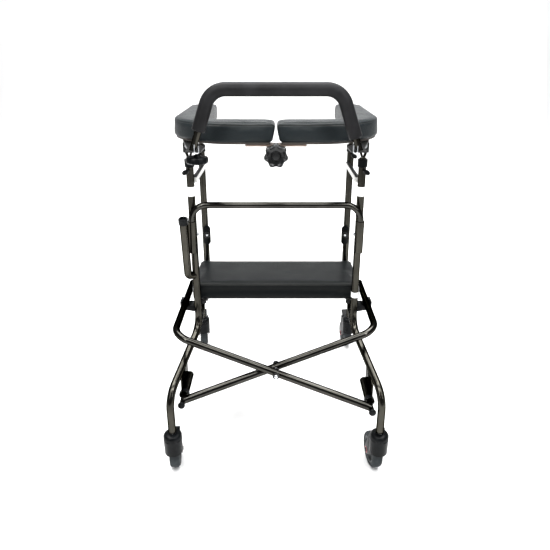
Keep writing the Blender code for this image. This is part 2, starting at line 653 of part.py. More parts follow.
def hinge_ears(side, sign, end, y, tube=None):
    """A U-shaped steel channel with the hinge bolt through it."""
    x = sign * POST_X
    half = EAR_SPAN / 2
    bottom = EAR_BOTTOM + (GAP if tube is None else -0.002)
    web = box((x - EAR_W / 2, y - half - EAR_T, bottom), (x + EAR_W / 2, y + half + EAR_T, EAR_BOTTOM + 0.003))
    piece = tube or add_piece(f"{side}_hinge_bracket", web, "black_steel", f"{side}_upper", smooth=False)
    if tube:
        boolean(piece, web, "UNION")
    for low in (y - half - EAR_T, y + half):
        boolean(piece, box((x - EAR_W / 2, low, EAR_BOTTOM + 0.001), (x + EAR_W / 2, low + EAR_T, FLIP_Z + 0.012)),
                "UNION")
    profile = [(-half - EAR_T - 0.0045, 0.0055), (-half - EAR_T + 0.001, 0.0055),
               (-half - EAR_T + 0.001, BOLT_R), (half + EAR_T - 0.001, BOLT_R),
               (half + EAR_T - 0.001, 0.0055), (half + EAR_T + 0.004, 0.0055)]
    boolean(piece, turned(profile, (x, y, FLIP_Z), (0, 1, 0), 12), "UNION")
    return piece


def handle_bracket(side, sign):
    """Ears at the front riser, with a plate forward to the handle's foot."""
    piece = hinge_ears(side, sign, "front", FRONT_POST_Y)
    ear = FRONT_POST_Y - EAR_SPAN / 2 - EAR_T
    flange = sorted((sign * (POST_X + 0.004), sign * (POST_X - EAR_W / 2)))
    boolean(piece, box((flange[0], ear - 0.0025, FLIP_Z + 0.0075), (flange[1], ear + 0.0015, PLATE_TOP)),
            "UNION")
    foot = HANDLE_END_X
    outline = [(POST_X + 0.004, ear), (POST_X + 0.004, ear - 0.03), (foot + 0.018, HANDLE_Y + 0.03),
               (foot + 0.016, HANDLE_Y - 0.016), (foot - 0.022, HANDLE_Y - 0.016),
               (foot - 0.024, HANDLE_Y + 0.045), (POST_X - EAR_W / 2, ear)]
    outline = [(sign * x, y) for x, y in outline]
    boolean(piece, prism(outline, "Z", PLATE_TOP - PLATE_T, PLATE_TOP), "UNION")


def handle():
    drop = HANDLE_TOP - PLATE_TOP - GAP
    path = [(-HANDLE_END_X, HANDLE_Y, PLATE_TOP + GAP), (-HANDLE_CORNER_X, HANDLE_Y, HANDLE_TOP),
            (HANDLE_CORNER_X, HANDLE_Y, HANDLE_TOP), (HANDLE_END_X, HANDLE_Y, PLATE_TOP + GAP)]
    lean = (HANDLE_END_X - HANDLE_CORNER_X) / drop
    # The tube's ends are cut level, to stand on the plates
    low = HANDLE_R * 1.2
    path[0] = (path[0][0] - lean * low, HANDLE_Y, path[0][2] - low)
    path[3] = (path[3][0] + lean * low, HANDLE_Y, path[3][2] - low)
    tube = add_piece("handle_tube", sweep(fillet(path, HANDLE_BEND), HANDLE_R), "tube", "handle_body")
    for sign in (-1, 1):
        centre = sign * HANDLE_END_X
        boolean(tube, box((centre - 0.04, HANDLE_Y - 0.03, PLATE_TOP - 0.04),
                          (centre + 0.04, HANDLE_Y + 0.03, PLATE_TOP + GAP)), "DIFFERENCE")
    ends = []
    for sign, start in ((-1, FOAM_START_LEFT), (1, FOAM_START_RIGHT)):
        level = PLATE_TOP + start
        reach = HANDLE_CORNER_X + lean * (HANDLE_TOP - level)
        ends.append((sign * reach, HANDLE_Y, level))
    grip = fillet([ends[0], path[1], path[2], ends[1]], HANDLE_BEND)
    foam = add_piece("handle_foam", sweep(grip, FOAM_R, 12), "foam", "handle_body")
    boolean(foam, sweep(fillet(path, HANDLE_BEND), HANDLE_R + GAP), "DIFFERENCE")


def disc_knob():
    name = make_body("disc_knob_body", (*DISC_POS, DISC_TOP), "left_upper")
    screw_top = PLATE_TOP - PLATE_T - GAP
    profile = [(0, 0.010), (0.003, DISC_R * 0.93), (0.006, DISC_R), (DISC_T - 0.004, DISC_R),
               (DISC_T, DISC_R * 0.85), (DISC_T, BOLT_R), (DISC_T + screw_top - DISC_TOP, BOLT_R)]
    bm = turned(profile, (*DISC_POS, DISC_TOP - DISC_T), (0, 0, 1), 16)
    add_piece("disc_knob", bm, "black_plastic", name)


def star_knob():
    name = make_body("star_knob_body", (0, PAD_FRONT, STAR_Z), "left_pad")
    tab_front = PAD_FRONT + 0.001
    back = tab_front - 0.0053
    lobes, steps = 7, 4
    rings = []
    for depth, scale in ((back, 0.86), (back - 0.004, 1.0), (back - 0.018, 1.0),
                         (back - STAR_DEPTH + 0.0053, 0.70)):
        ring = []
        for k in range(lobes * steps):
            angle = 2 * math.pi * k / (lobes * steps)
            radius = STAR_R * scale * (0.925 + 0.075 * math.cos(lobes * angle))
            ring.append((radius * math.sin(angle), depth, STAR_Z + radius * math.cos(angle)))
        rings.append(ring)
    knob = add_piece("star_knob", loft(rings), "black_plastic", name)
    shaft = [(0, 0.011), (0.0045, 0.011), (0.0045, 0.0075), (0.0061 + GAP, 0.0075)]
    washer = tab_front + STRIP_T + GAP
    profile = [(back - 0.002, 0.013), (tab_front - GAP, 0.013), (tab_front - GAP, BOLT_R), (washer, BOLT_R),
               *[(washer + a, r) for a, r in shaft]]
    boolean(knob, turned(profile, (0, 0, STAR_Z), (0, 1, 0), 16), "UNION")


# Forearm pads
def pad_ring(sign, inset, level, narrowing=0.0):
    """One level of a pad half; the narrowing draws in the end at the middle gap."""
    corners = [(PAD_SPLIT, PAD_FRONT, 0.012), (PAD_OUT_FRONT, PAD_FRONT, PAD_OUT_ROUND),
               (PAD_OUT_END, PAD_END, 0.034), (PAD_IN_END, PAD_END, 0.020),
               (PAD_IN_FRONT, PAD_BAR_BACK, 0.024), (PAD_SPLIT, PAD_BAR_BACK, 0.020)]
    ring = []
    for p in rounded_outline(corners, inset):
        near = max(0.0, 1 - p.x / PAD_V_REACH)
        ring.append((sign * (p.x + narrowing * near), p.y, level))
    return ring


def forearm_pad(side, sign):
    body = f"{side}_pad"
    lip = PAD_BOTTOM + PAD_LIP
    high = PAD_TOP - PAD_CROWN
    levels = ((lip, 0.0020, PAD_V), (lip + 0.004, 0.0006, PAD_V * 0.84), ((lip + high) / 2, 0.0016, 0.002),
              (high - 0.008, 0.0006, 0.0), (high - 0.004, 0.0, 0.0), (high, 0.0025, 0.001),
              (PAD_TOP - 0.002, 0.010, 0.0), (PAD_TOP, 0.030, 0.0))
    rings = [pad_ring(sign, inset, level, narrowing) for level, inset, narrowing in levels]
    cushion = add_piece(f"{side}_pad_cushion", loft(rings), "vinyl", body)
    pocket = [pad_ring(sign, 0.006, level, PAD_V)
              for level in (PAD_BOTTOM - 0.005, PAD_BOTTOM + BOARD_T + GAP)]
    boolean(cushion, loft(pocket), "DIFFERENCE")

    sheet = [pad_ring(sign, 0.006 + GAP, level, PAD_V + GAP) for level in (PAD_BOTTOM, PAD_BOTTOM + BOARD_T)]
    board = add_piece(f"{side}_pad_board", loft(sheet), "board", body, smooth=False)
    for y in (FRONT_POST_Y, REAR_POST_Y):
        half = EAR_SPAN / 2 - 0.0005
        x = sign * POST_X
        foot = circle_points((x, FLIP_Z), 0.0115, math.pi, 2 * math.pi, 8)
        foot = [(x - 0.0115, PAD_BOTTOM + 0.002), *foot, (x + 0.0115, PAD_BOTTOM + 0.002)]
        boolean(board, prism(foot, "Y", y - half, y + half), "UNION")
        boolean(board, turned([(0, BOLT_R + 2 * GAP), (0.05, BOLT_R + 2 * GAP)], (x, y - 0.025, FLIP_Z),
                              (0, 1, 0), 12), "DIFFERENCE")
    pad_strip(side, sign, body)


def pad_strip(side, sign, body):
    """The steel strip under the pad's front edge, with its clamp tab at the middle."""
    top = PAD_BOTTOM - GAP
    front = PAD_FRONT + 0.001
    strip = box((min(sign * TAB_EDGE_TOP, sign * STRIP_LENGTH), front, top - STRIP_T),
                (max(sign * TAB_EDGE_TOP, sign * STRIP_LENGTH), STRIP_BACK, top))
    piece = add_piece(f"{side}_pad_strip", strip, "strip_steel", body, smooth=False)
    high, low = STAR_Z + TAB_SLOT_HALF, STAR_Z - TAB_SLOT_HALF
    lean = (TAB_EDGE_LOW - TAB_EDGE_TOP) / (top - TAB_BOTTOM)
    edge = (lambda z: TAB_EDGE_TOP + lean * (top - z))
    outline = [(edge(top), top - 0.001), (edge(high), high), (TAB_SLOT, high), (TAB_SLOT, low),
               (edge(low), low), (edge(TAB_BOTTOM), TAB_BOTTOM), (TAB_WIDTH, TAB_BOTTOM),
               (TAB_WIDTH, top - 0.001)]
    boolean(piece, prism([(sign * x, z) for x, z in outline], "Y", front, front + STRIP_T), "UNION")


# Crossbar and seat
def crossbar():
    path = fillet([(-BAR_X, BAR_Y, SLEEVE_TOP - 0.030), (-BAR_X, BAR_Y, BAR_Z), (BAR_X, BAR_Y, BAR_Z),
                   (BAR_X, BAR_Y, SLEEVE_TOP + 2 * GAP)], BAR_BEND)
    add_piece("crossbar", sweep(path, BAR_R), "brace_tube", "crossbar_body")


def seat():
    corners = [(-SEAT_HALF, SEAT_FRONT, SEAT_CORNER), (SEAT_HALF, SEAT_FRONT, SEAT_CORNER),
               (SEAT_HALF, SEAT_BACK, SEAT_CORNER), (-SEAT_HALF, SEAT_BACK, SEAT_CORNER)]
    low = SEAT_BOTTOM + GAP
    high = SEAT_TOP - 0.004
    levels = ((low, 0.0020), (low + 0.004, 0.0006), ((low + high) / 2, 0.0014), (high - 0.004, 0.0),
              (high, 0.0025), (SEAT_TOP - 0.0015, 0.010), (SEAT_TOP, 0.040))
    rings = [[(*p, level) for p in rounded_outline(corners, inset)] for level, inset in levels]
    cushion = add_piece("seat_cushion", loft(rings), "vinyl", "seat_body")
    pocket = [[(*p, level) for p in rounded_outline(corners, 0.006)]
              for level in (SEAT_BOTTOM - 0.005, SEAT_BOTTOM + BOARD_T + GAP)]
    boolean(cushion, loft(pocket), "DIFFERENCE")
    sheet = [[(*p, level) for p in rounded_outline(corners, 0.006 + GAP)]
             for level in (SEAT_BOTTOM, SEAT_BOTTOM + BOARD_T)]
    board = add_piece("seat_board", loft(sheet), "board", "seat_body", smooth=False)
    for y in (SEAT_FRONT + LUG_L, SEAT_BACK - 2 * LUG_L):
        for x, bottom in ((-SEAT_HINGE_X, SEAT_HINGE_Z - 0.007), (SEAT_HINGE_X, SEAT_HINGE_Z + SEAT_ROD_R + GAP)):
            boolean(board, box((x - LUG_HALF, y, bottom), (x + LUG_HALF, y + LUG_L, SEAT_BOTTOM + 0.002)), "UNION")
    boolean(board, turned([(0, SEAT_ROD_R + 2 * GAP), (0.25, SEAT_ROD_R + 2 * GAP)],
                          (-SEAT_HINGE_X, SEAT_FRONT - 0.02, SEAT_HINGE_Z), (0, 1, 0), 16), "DIFFERENCE")


# Casters
def caster_matrix(sign, foot):
    return (Matrix.Translation((sign * foot[0], foot[1], 0)) @ Matrix.Rotation(CASTER_YAW, 4, "Z"))


def placed(bm, matrix):
    bmesh.ops.transform(bm, matrix=matrix, verts=bm.verts)
    return bm


def caster(side, sign, end, foot):
    """A swivelling fork with its wheel, drawn at the origin and turned into place."""
    turn = caster_matrix(sign, foot)
    swivel = make_body(f"{side}_{end}_caster", turn @ Vector((0, 0, HOOD_TOP)), f"{side}_frame")
    axle = turn @ Vector((0, TRAIL, WHEEL_R))
    wheel = make_body(f"{side}_{end}_wheel", axle, swivel)
    slot = TYRE_W / 2 + FORK_ROOM
    reach = slot + FORK_WALL

    hood = turned([(HOOD_BOTTOM, HOOD_R * 0.98), (HOOD_TOP - 0.007, HOOD_R), (HOOD_TOP, HOOD_R * 0.78)],
                  (0, 0, 0), (0, 0, 1), 18)
    fork = add_piece(f"{side}_{end}_caster_fork", placed(hood, turn), "black_plastic", swivel)
    arm = [(-HOOD_R * 0.6, HOOD_BOTTOM + 0.004),
           *circle_points((TRAIL, WHEEL_R), 0.014, math.radians(-115), math.radians(45), 5)]
    if end == "rear":
        arm += [(BRAKE_Y + 0.008, BRAKE_Z - 0.006),
                *circle_points((BRAKE_Y, BRAKE_Z), 0.0075, 0, math.pi, 4)]
    else:
        arm += [(TRAIL * 0.55, HOOD_TOP - 0.012)]
    arm += [(-HOOD_R * 0.3, HOOD_TOP - 0.012)]
    for low, high in ((-reach, -slot), (slot, reach)):
        boolean(fork, placed(prism(arm, "X", low, high), turn), "UNION")
    room = turned([(-slot, WHEEL_R + 0.002), (slot, WHEEL_R + 0.002)], (0, TRAIL, WHEEL_R), (1, 0, 0), 24)
    boolean(fork, placed(room, turn), "DIFFERENCE")
    pin = turned([(-reach - 0.003, 0.007), (-reach + 0.001, 0.007), (-reach + 0.001, AXLE_R),
                  (reach - 0.001, AXLE_R), (reach - 0.001, 0.007), (reach + 0.003, 0.007)],
                 (0, TRAIL, WHEEL_R), (1, 0, 0), 10)
    boolean(fork, placed(pin, turn), "UNION")
    socket = turned([(HOOD_TOP - STEM_L - GAP, AXLE_R + 2 * GAP), (HOOD_TOP + 0.01, AXLE_R + 2 * GAP)],
                    (0, 0, 0), (0, 0, 1), 12)
    boolean(fork, placed(socket, turn), "DIFFERENCE")
    if end == "rear":
        brake_lever(side, fork, swivel, turn, slot)

    half = TYRE_W / 2
    spin = turn.to_3x3() @ Vector((1, 0, 0))
    tread = [(-half, WHEEL_R - 0.008), (-half + 0.005, WHEEL_R), (half - 0.005, WHEEL_R),
             (half, WHEEL_R - 0.008), (half - 0.001, HUB_R + GAP), (-half + 0.001, HUB_R + GAP),
             (-half, WHEEL_R - 0.008)]
    add_piece(f"{side}_{end}_tyre", turned(tread, axle, spin, 28, (0, 0, -1)), "tyre_rubber", wheel)
    face = half - 0.002
    disc = [(-face, HUB_R - 0.006), (-face, HUB_R), (face, HUB_R), (face, HUB_R - 0.006),
            (0.007, 0.013), (half, 0.012), (half, AXLE_R + GAP), (-half, AXLE_R + GAP), (-half, 0.012),
            (-0.007, 0.013), (-face, HUB_R - 0.006)]
    add_piece(f"{side}_{end}_wheel_hub", turned(disc, axle, spin, 20, (0, 0, -1)), "hub_grey", wheel)


def brake_lever(side, fork, swivel, turn, slot):
    """A foot lever on a pin between the fork's arms. Its shoe nears the tyre as the tab is pressed."""
    name = make_body(f"{side}_brake", turn @ Vector((0, BRAKE_Y, BRAKE_Z)), swivel)
    pin = turned([(-slot - 0.002, 0.003), (slot + 0.002, 0.003)], (0, BRAKE_Y, BRAKE_Z), (1, 0, 0), 8)
    boolean(fork, placed(pin, turn), "UNION")
    outline = circle_points((BRAKE_Y, BRAKE_Z), 0.0065, math.radians(120), math.radians(250), 4)
    shoe_and_tab = ((0.007, -0.0215), (0.014, -0.0225), (0.017, -0.018), (0.010, -0.001), (0.028, 0.016),
                    (0.024, 0.022))
    outline += [(BRAKE_Y + y, BRAKE_Z + z) for y, z in shoe_and_tab]
    lever = add_piece(f"{side}_brake_lever", placed(prism(outline, "X", -BRAKE_W, BRAKE_W), turn),
                      "black_plastic", name, smooth=False)
    bore = turned([(-0.03, 0.003 + 2 * GAP), (0.03, 0.003 + 2 * GAP)], (0, BRAKE_Y, BRAKE_Z), (1, 0, 0), 10)
    boolean(lever, placed(bore, turn), "DIFFERENCE")


def build():
    clear_scene()
    make_body("left_frame")
    make_body("brace_a_body", (-PIVOT_X, 0, PIVOT_Z), "left_frame")
    crossing = PIVOT_Z + (RAIL_Z - PIVOT_Z) / (RAIL_X + PIVOT_X) * PIVOT_X
    make_body("brace_b_body", (0, 0, crossing), "brace_a_body")
    make_body("right_frame", (PIVOT_X, 0, PIVOT_Z), "brace_b_body")
    make_body("seat_body", (-SEAT_HINGE_X, 0, SEAT_HINGE_Z), "left_frame")
    make_body("crossbar_body", (0, BAR_Y, BAR_Z), "left_frame")
    for side, sign in (("left", -1), ("right", 1)):
        make_body(f"{side}_upper", (sign * POST_X, 0, POST_TOP), f"{side}_frame")
        make_body(f"{side}_pad", (sign * POST_X, 0, FLIP_Z), f"{side}_upper")
        front_leg(side, sign)
        rear_leg(side, sign)
        side_bar(side, sign)
        saddle(side, sign)
        seat_bracket(side, sign)
        clip_plate(side, sign)
        for end, y in (("front", FRONT_POST_Y), ("rear", REAR_POST_Y)):
            collar(side, sign, end, y)
            thumb_knob(side, sign, end, y)
        riser(side, sign, "front", FRONT_POST_Y)
        rear = riser(side, sign, "rear", REAR_POST_Y)
        hinge_ears(side, sign, "rear", REAR_POST_Y, rear)
        handle_bracket(side, sign)
        forearm_pad(side, sign)
        caster(side, sign, "front", FRONT_FOOT)
        caster(side, sign, "rear", REAR_FOOT)
    make_body("handle_body", (0, HANDLE_Y, PLATE_TOP), "left_upper")
    cane_holder()
    back_y = brace("brace_a", "left", -1)
    front_y = brace("brace_b", "right", 1)
    brace_bolt(front_y, back_y)
    crossbar()
    seat()
    handle()
    disc_knob()
    star_knob()


build()
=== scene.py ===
# %% [markdown]
# A forearm walker is a frame on four casters with a padded horseshoe on top, where the user
# leans the forearms. The imported model already holds its real shape and its joints. This lesson
# dresses it: fine tubes in the place of faceted ones, upholstery from a cloth simulation, and a
# material for every finish. The first cell loads the model.

# %% Load the imported walker
import math

import bmesh
import bpy
from mathutils import Matrix, Vector


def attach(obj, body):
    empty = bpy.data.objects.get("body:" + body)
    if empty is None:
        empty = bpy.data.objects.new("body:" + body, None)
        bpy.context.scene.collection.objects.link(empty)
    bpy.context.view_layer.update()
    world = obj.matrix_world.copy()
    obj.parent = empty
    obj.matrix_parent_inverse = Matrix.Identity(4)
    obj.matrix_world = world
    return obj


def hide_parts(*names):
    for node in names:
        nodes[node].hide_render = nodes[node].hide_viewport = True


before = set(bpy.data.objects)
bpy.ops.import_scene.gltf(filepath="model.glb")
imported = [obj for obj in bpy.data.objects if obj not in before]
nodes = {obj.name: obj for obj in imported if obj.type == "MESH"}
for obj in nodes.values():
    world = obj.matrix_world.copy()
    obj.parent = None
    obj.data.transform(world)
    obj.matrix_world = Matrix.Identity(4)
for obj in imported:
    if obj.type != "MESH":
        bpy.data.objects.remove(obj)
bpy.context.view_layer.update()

# %% [markdown]
# The walker was designed round its own middle plane, and then moved a little, so that the origin
# lies under the middle of its outline. Sizes below are written in the design's own numbers, and
# every piece is moved by the same small step at the end.

# %% Design sizes
STEP = Vector((0.0025, -0.0248, 0.0))
GAP = 0.0003
TUBE_R = 0.0111
POST_X = 0.246
FRONT_POST_Y = -0.082
REAR_POST_Y = 0.154
POST_TOP = 0.860
LEG_END = 0.150
LEG_BEND = 0.060
FRONT_KNEE_Z, FRONT_ANKLE_Z = 0.345, 0.270
REAR_KNEE_Z, REAR_ANKLE_Z = 0.420, 0.225
FRONT_FOOT = (0.296, -0.339)
REAR_FOOT = (0.300, 0.323)
FEET = (("front", FRONT_FOOT), ("rear", REAR_FOOT))
POSTS = (("front", FRONT_POST_Y), ("rear", REAR_POST_Y))
SIDE_TUBE_Z = 0.350
BAR_Y = -0.1035
THIN_TUBE_R = 0.0095
PIVOT = (0.270, 0.220)
PIVOT_FRONT = -0.3416
BRACE_STEP = 0.030
RAIL = (0.303, 0.380)
FLIP_Z = 0.9225
SIDES = (("left", -1), ("right", 1))
RIGHT, BACK, UP = (1, 0, 0), (0, 1, 0), (0, 0, 1)

# %% [markdown]
# The photograph was taken from in front, a little above the pads and tilted down by twenty
# degrees. The lens and the place below come from the vertical tubes, the floor and the wheels.

# %% Camera


def linked(name, data):
    """A new object in the scene."""
    made = bpy.data.objects.new(name, data)
    bpy.context.scene.collection.objects.link(made)
    return made


camera_data = bpy.data.cameras.new("camera")
camera_data.lens = 32.45
camera_data.sensor_width = 36.0
camera_data.shift_x = -0.0018
camera_data.shift_y = -0.0714
camera = linked("camera", camera_data)
camera.location = Vector((0.0, -1.475, 1.162)) + STEP
camera.rotation_euler = (math.radians(69.86), 0.0, 0.0)
bpy.context.scene.camera = camera
print("camera height", camera.location.z)

# %% [markdown]
# The floor is a pale sheet that curves up into a wall behind the walker, as studio paper does, so
# no horizon shows. The overhead and rear lights make the paper white and leave the front of the
# walker darker. Two tall soft boxes draw the bright lines on the upright tubes, and a long
# box above the camera draws the ones on the handle, the crossbar and the brace.

# %% Floor and light
PAPER_HALF, PAPER_BEND, PAPER_WALL = 5.0, 1.5, 2.2


def verts_of(geometry):
    return [item for item in geometry if isinstance(item, bmesh.types.BMVert)]


def edges_of(geometry):
    return [item for item in geometry if isinstance(item, bmesh.types.BMEdge)]


paper = bmesh.new()
bmesh.ops.create_grid(paper, x_segments=1, y_segments=1, size=PAPER_HALF)
bmesh.ops.scale(paper, vec=(2.0, 1.0, 1.0), verts=paper.verts)
back_edge = [edge for edge in paper.edges
             if all(vert.co.y > PAPER_HALF - 0.1 for vert in edge.verts)]
bent = bmesh.ops.spin(paper, geom=back_edge, cent=(0, PAPER_HALF, PAPER_BEND), axis=RIGHT,
                      angle=math.radians(90), steps=16)["geom_last"]
wall = bmesh.ops.extrude_edge_only(paper, edges=edges_of(bent))["geom"]
bmesh.ops.translate(paper, verts=verts_of(wall), vec=(0, 0, PAPER_WALL))
floor_data = bpy.data.meshes.new("floor")
paper.to_mesh(floor_data)
paper.free()
floor_data.shade_smooth()
floor = linked("floor", floor_data)
floor.location.z = -0.0005

world = bpy.data.worlds.new("studio")
bpy.context.scene.world = world
world.use_nodes = True
world.node_tree.nodes["Background"].inputs["Color"].default_value = (1.0, 1.0, 1.0, 1.0)
world.node_tree.nodes["Background"].inputs["Strength"].default_value = 0.20
bpy.context.scene.view_settings.view_transform = "Standard"


def soft_light(name, place, aim, size, watts):
    data = bpy.data.lights.new(name, "AREA")
    data.shape = "RECTANGLE"
    data.size, data.size_y = size
    data.energy = watts
    lamp = linked(name, data)
    lamp.location = place
    lamp.rotation_euler = (Vector(aim) - Vector(place)).to_track_quat("-Z", "Y").to_euler()


soft_light("overhead", (0.0, 0.9, 4.6), (0.0, 0.5, 0.0), (5.0, 2.8), 560)
soft_light("back_wall", (0.0, 2.8, 3.8), (0.0, 6.0, 1.6), (4.0, 1.0), 150)
soft_light("front_box", (0.0, -1.05, 1.95), (0.0, -0.15, 0.7), (2.6, 0.40), 40)
soft_light("left_box", (-1.5, -2.2, 2.3), (0.0, 0.0, 0.5), (0.14, 2.0), 30)
soft_light("right_box", (1.7, -2.0, 2.1), (0.0, 0.0, 0.5), (0.14, 2.0), 26)

# %% [markdown]
# A shader can be written as plain sums. The class below wraps a socket, and each sum on it adds
# one Math node, so a paint's tone reads as drift * 0.7 + fleck * 0.3. A finish keeps its
# material, its main shader and one method that adds any other node.

# %% Shader sums


class Value:
    def __init__(self, finish, socket):
        self.finish = finish
        self.socket = socket

    def __add__(self, other):
        return self.finish.math("ADD", self, other)

    def __sub__(self, other):
        return self.finish.math("SUBTRACT", self, other)

    def __mul__(self, other):
        return self.finish.math("MULTIPLY", self, other)


class Finish:
    def __init__(self, name, color, roughness, metallic=0.0, **more):
        self.material = bpy.data.materials.new(name)
        self.material.use_nodes = True
        self.tree = self.material.node_tree
        self.shader = self.tree.nodes["Principled BSDF"]
        self.feed("Base Color", (*color, 1.0))
        self.feed("Roughness", roughness)
        self.feed("Metallic", metallic)
        for socket, value in more.items():
            self.feed(socket.replace("_", " "), value)
        self.point = self.node("ShaderNodeTexCoord", {}, {}, "Object")

    def link(self, socket, value):
        if isinstance(value, Value):
            self.tree.links.new(value.socket, socket)
        else:
            socket.default_value = value

    def feed(self, name, value):
        self.link(self.shader.inputs[name], value)

    def node(self, kind, settings, inputs, out=0):
        made = self.tree.nodes.new(kind)
        for name, value in settings.items():
            setattr(made, name, value)
        for name, value in inputs.items():
            self.link(made.inputs[name], value)
        return Value(self, made.outputs[out])

    def math(self, operation, a, b):
        return self.node("ShaderNodeMath", {"operation": operation}, {0: a, 1: b})

    def noise(self, scale, detail=3.0, stretch=(1, 1, 1)):
        place = self.point
        if stretch != (1, 1, 1):
            place = self.node("ShaderNodeMapping", {}, {"Vector": self.point, "Scale": stretch})
        return self.node("ShaderNodeTexNoise", {},
                         {"Vector": place, "Scale": scale, "Detail": detail})

    def cells(self, scale):
        return self.node("ShaderNodeTexVoronoi", {"feature": "DISTANCE_TO_EDGE"},
                         {"Vector": self.point, "Scale": scale})

    def axis(self, name):
        return self.node("ShaderNodeSeparateXYZ", {}, {"Vector": self.point}, name)

    def between(self, value, low, high):
        return self.node("ShaderNodeMapRange", {"interpolation_type": "SMOOTHSTEP"},
                         {"Value": value, "From Min": low, "From Max": high})

    def mix(self, share, a, b):
        return self.node("ShaderNodeMix", {"data_type": "RGBA"}, {0: share, 6: a, 7: b}, 2)

    def bump(self, height, depth, strength):
        normal = self.node("ShaderNodeBump", {}, {"Height": height, "Distance": depth,
                                                  "Strength": strength})
        self.feed("Normal", normal)


print("shader sums ready")

# %% [markdown]
# The steel tubes wear a thin bronze-grey metallic lacquer. Under the lacquer the colour drifts
# a little, and the gloss is broken by fine rubbing marks. The crossed tubes at the front are the
# same paint with more shine.

# %% Lacquered steel


def lacquer(name, color, roughness):
    finish = Finish(name, color, roughness, 1.0, Specular_Tint=(0.12, 0.12, 0.11, 1.0))
    drift = finish.noise(14.0)
    fleck = finish.noise(2200.0, 1.0)
    darker = tuple(c * 0.72 for c in color)
    lighter = tuple(c * 1.25 for c in color)
    tone = finish.between(drift * 0.7 + fleck * 0.3, 0.35, 0.65)
    finish.feed("Base Color", finish.mix(tone, (*darker, 1.0), (*lighter, 1.0)))
    finish.feed("Roughness", finish.noise(55.0, 5.0) * 0.14 + (roughness - 0.07))
    finish.bump(finish.noise(160.0, 2.0), 0.00012, 0.35)
    return finish


tube_lacquer = lacquer("bronze grey lacquer", (0.040, 0.038, 0.032), 0.20)
bright_lacquer = lacquer("bright bronze grey lacquer", (0.040, 0.039, 0.035), 0.13)
print("lacquer ready")

# %% [markdown]
# Knobs, collars, saddles and casters are moulded plastic: nearly black, with a fine spark-eroded
# grain. Small pressed parts are steel with a black coat, which is smoother and worn on the rubs.

# %% Black plastic and black steel


def moulded(name, color, roughness, gloss):
    finish = Finish(name, color, roughness, 0.0, Specular_IOR_Level=gloss)
    grain = finish.noise(1500.0, 2.0)
    cloud = finish.noise(30.0, 3.0)
    lighter = tuple(c * 1.8 for c in color)
    finish.feed("Base Color", finish.mix(finish.between(cloud, 0.4, 0.7), (*color, 1.0),
                                         (*lighter, 1.0)))
    finish.feed("Roughness", cloud * 0.2 + (roughness - 0.10))
    finish.bump(grain, 0.00008, 0.5)
    return finish


black_plastic = moulded("black moulded plastic", (0.0024, 0.0028, 0.0032), 0.30, 0.08)
hub_plastic = moulded("grey moulded plastic", (0.042, 0.045, 0.046), 0.46, 0.13)
knob_plastic = moulded("glossy black plastic", (0.0035, 0.0038, 0.0040), 0.24, 0.45)

black_steel = Finish("black coated steel", (0.010, 0.010, 0.010), 0.34, 0.3,
                     Specular_IOR_Level=0.30)
rub = black_steel.noise(90.0, 6.0)
black_steel.feed("Base Color", black_steel.mix(black_steel.between(rub, 0.62, 0.75),
                                               (0.009, 0.009, 0.009, 1.0),
                                               (0.05, 0.05, 0.047, 1.0)))
black_steel.feed("Roughness", rub * 0.3 + 0.25)
black_steel.bump(rub, 0.00008, 0.3)
print("plastic and steel ready")

# %% [markdown]
# Bolts and nuts are zinc plated: bright, slightly cloudy and softly brushed. The two strips under
# the pad are a warmer plated steel, brushed along their length. The flat side bars are coated
# white, and the bands on the posts are plain white paper.

# %% Zinc, plated steel and white coats
zinc = Finish("zinc plating", (0.62, 0.64, 0.66), 0.28, 1.0)
zinc.feed("Roughness", zinc.noise(240.0, 4.0) * 0.25 + 0.16)
zinc.bump(zinc.noise(700.0, 2.0), 0.00005, 0.4)

strip_steel = Finish("warm plated steel", (0.33, 0.255, 0.215), 0.38, 1.0)
brushed = strip_steel.noise(60.0, 4.0, (1.0, 40.0, 40.0))
warmth = strip_steel.between(strip_steel.noise(25.0), 0.35, 0.7)
strip_steel.feed("Base Color", strip_steel.mix(warmth, (0.27, 0.20, 0.165, 1.0),
                                               (0.42, 0.34, 0.29, 1.0)))
strip_steel.feed("Roughness", brushed * 0.3 + 0.25)
strip_steel.bump(brushed, 0.00005, 0.6)

white_coat = Finish("white coated bar", (0.72, 0.72, 0.69), 0.38, 0.0)
lines = white_coat.node("ShaderNodeTexWave", {"wave_type": "BANDS", "bands_direction": "DIAGONAL"},
                        {"Vector": white_coat.point, "Scale": 110.0, "Distortion": 0.0})
white_coat.feed("Base Color", white_coat.mix(white_coat.between(lines, 0.78, 0.95),
                                             (0.74, 0.74, 0.71, 1.0), (0.36, 0.36, 0.35, 1.0)))
white_coat.feed("Roughness", white_coat.noise(120.0) * 0.2 + 0.28)
white_coat.bump(lines, 0.0002, 0.5)

label_paper = Finish("bare white band", (0.80, 0.80, 0.78), 0.45, 0.0)
label_paper.feed("Roughness", label_paper.noise(200.0) * 0.2 + 0.35)
label_paper.bump(label_paper.noise(600.0), 0.00004, 0.3)
print("metals ready")

# %% [markdown]
# Upholstery vinyl is a plastic skin pressed with a leather grain: tiny rounded cells, a soft
# sheen at grazing angles, and slow waves where the foam behind it pulls. The foam grip has a
# closed skin with much finer pores. Tyres are matt grey rubber.

# %% Vinyl, foam and rubber


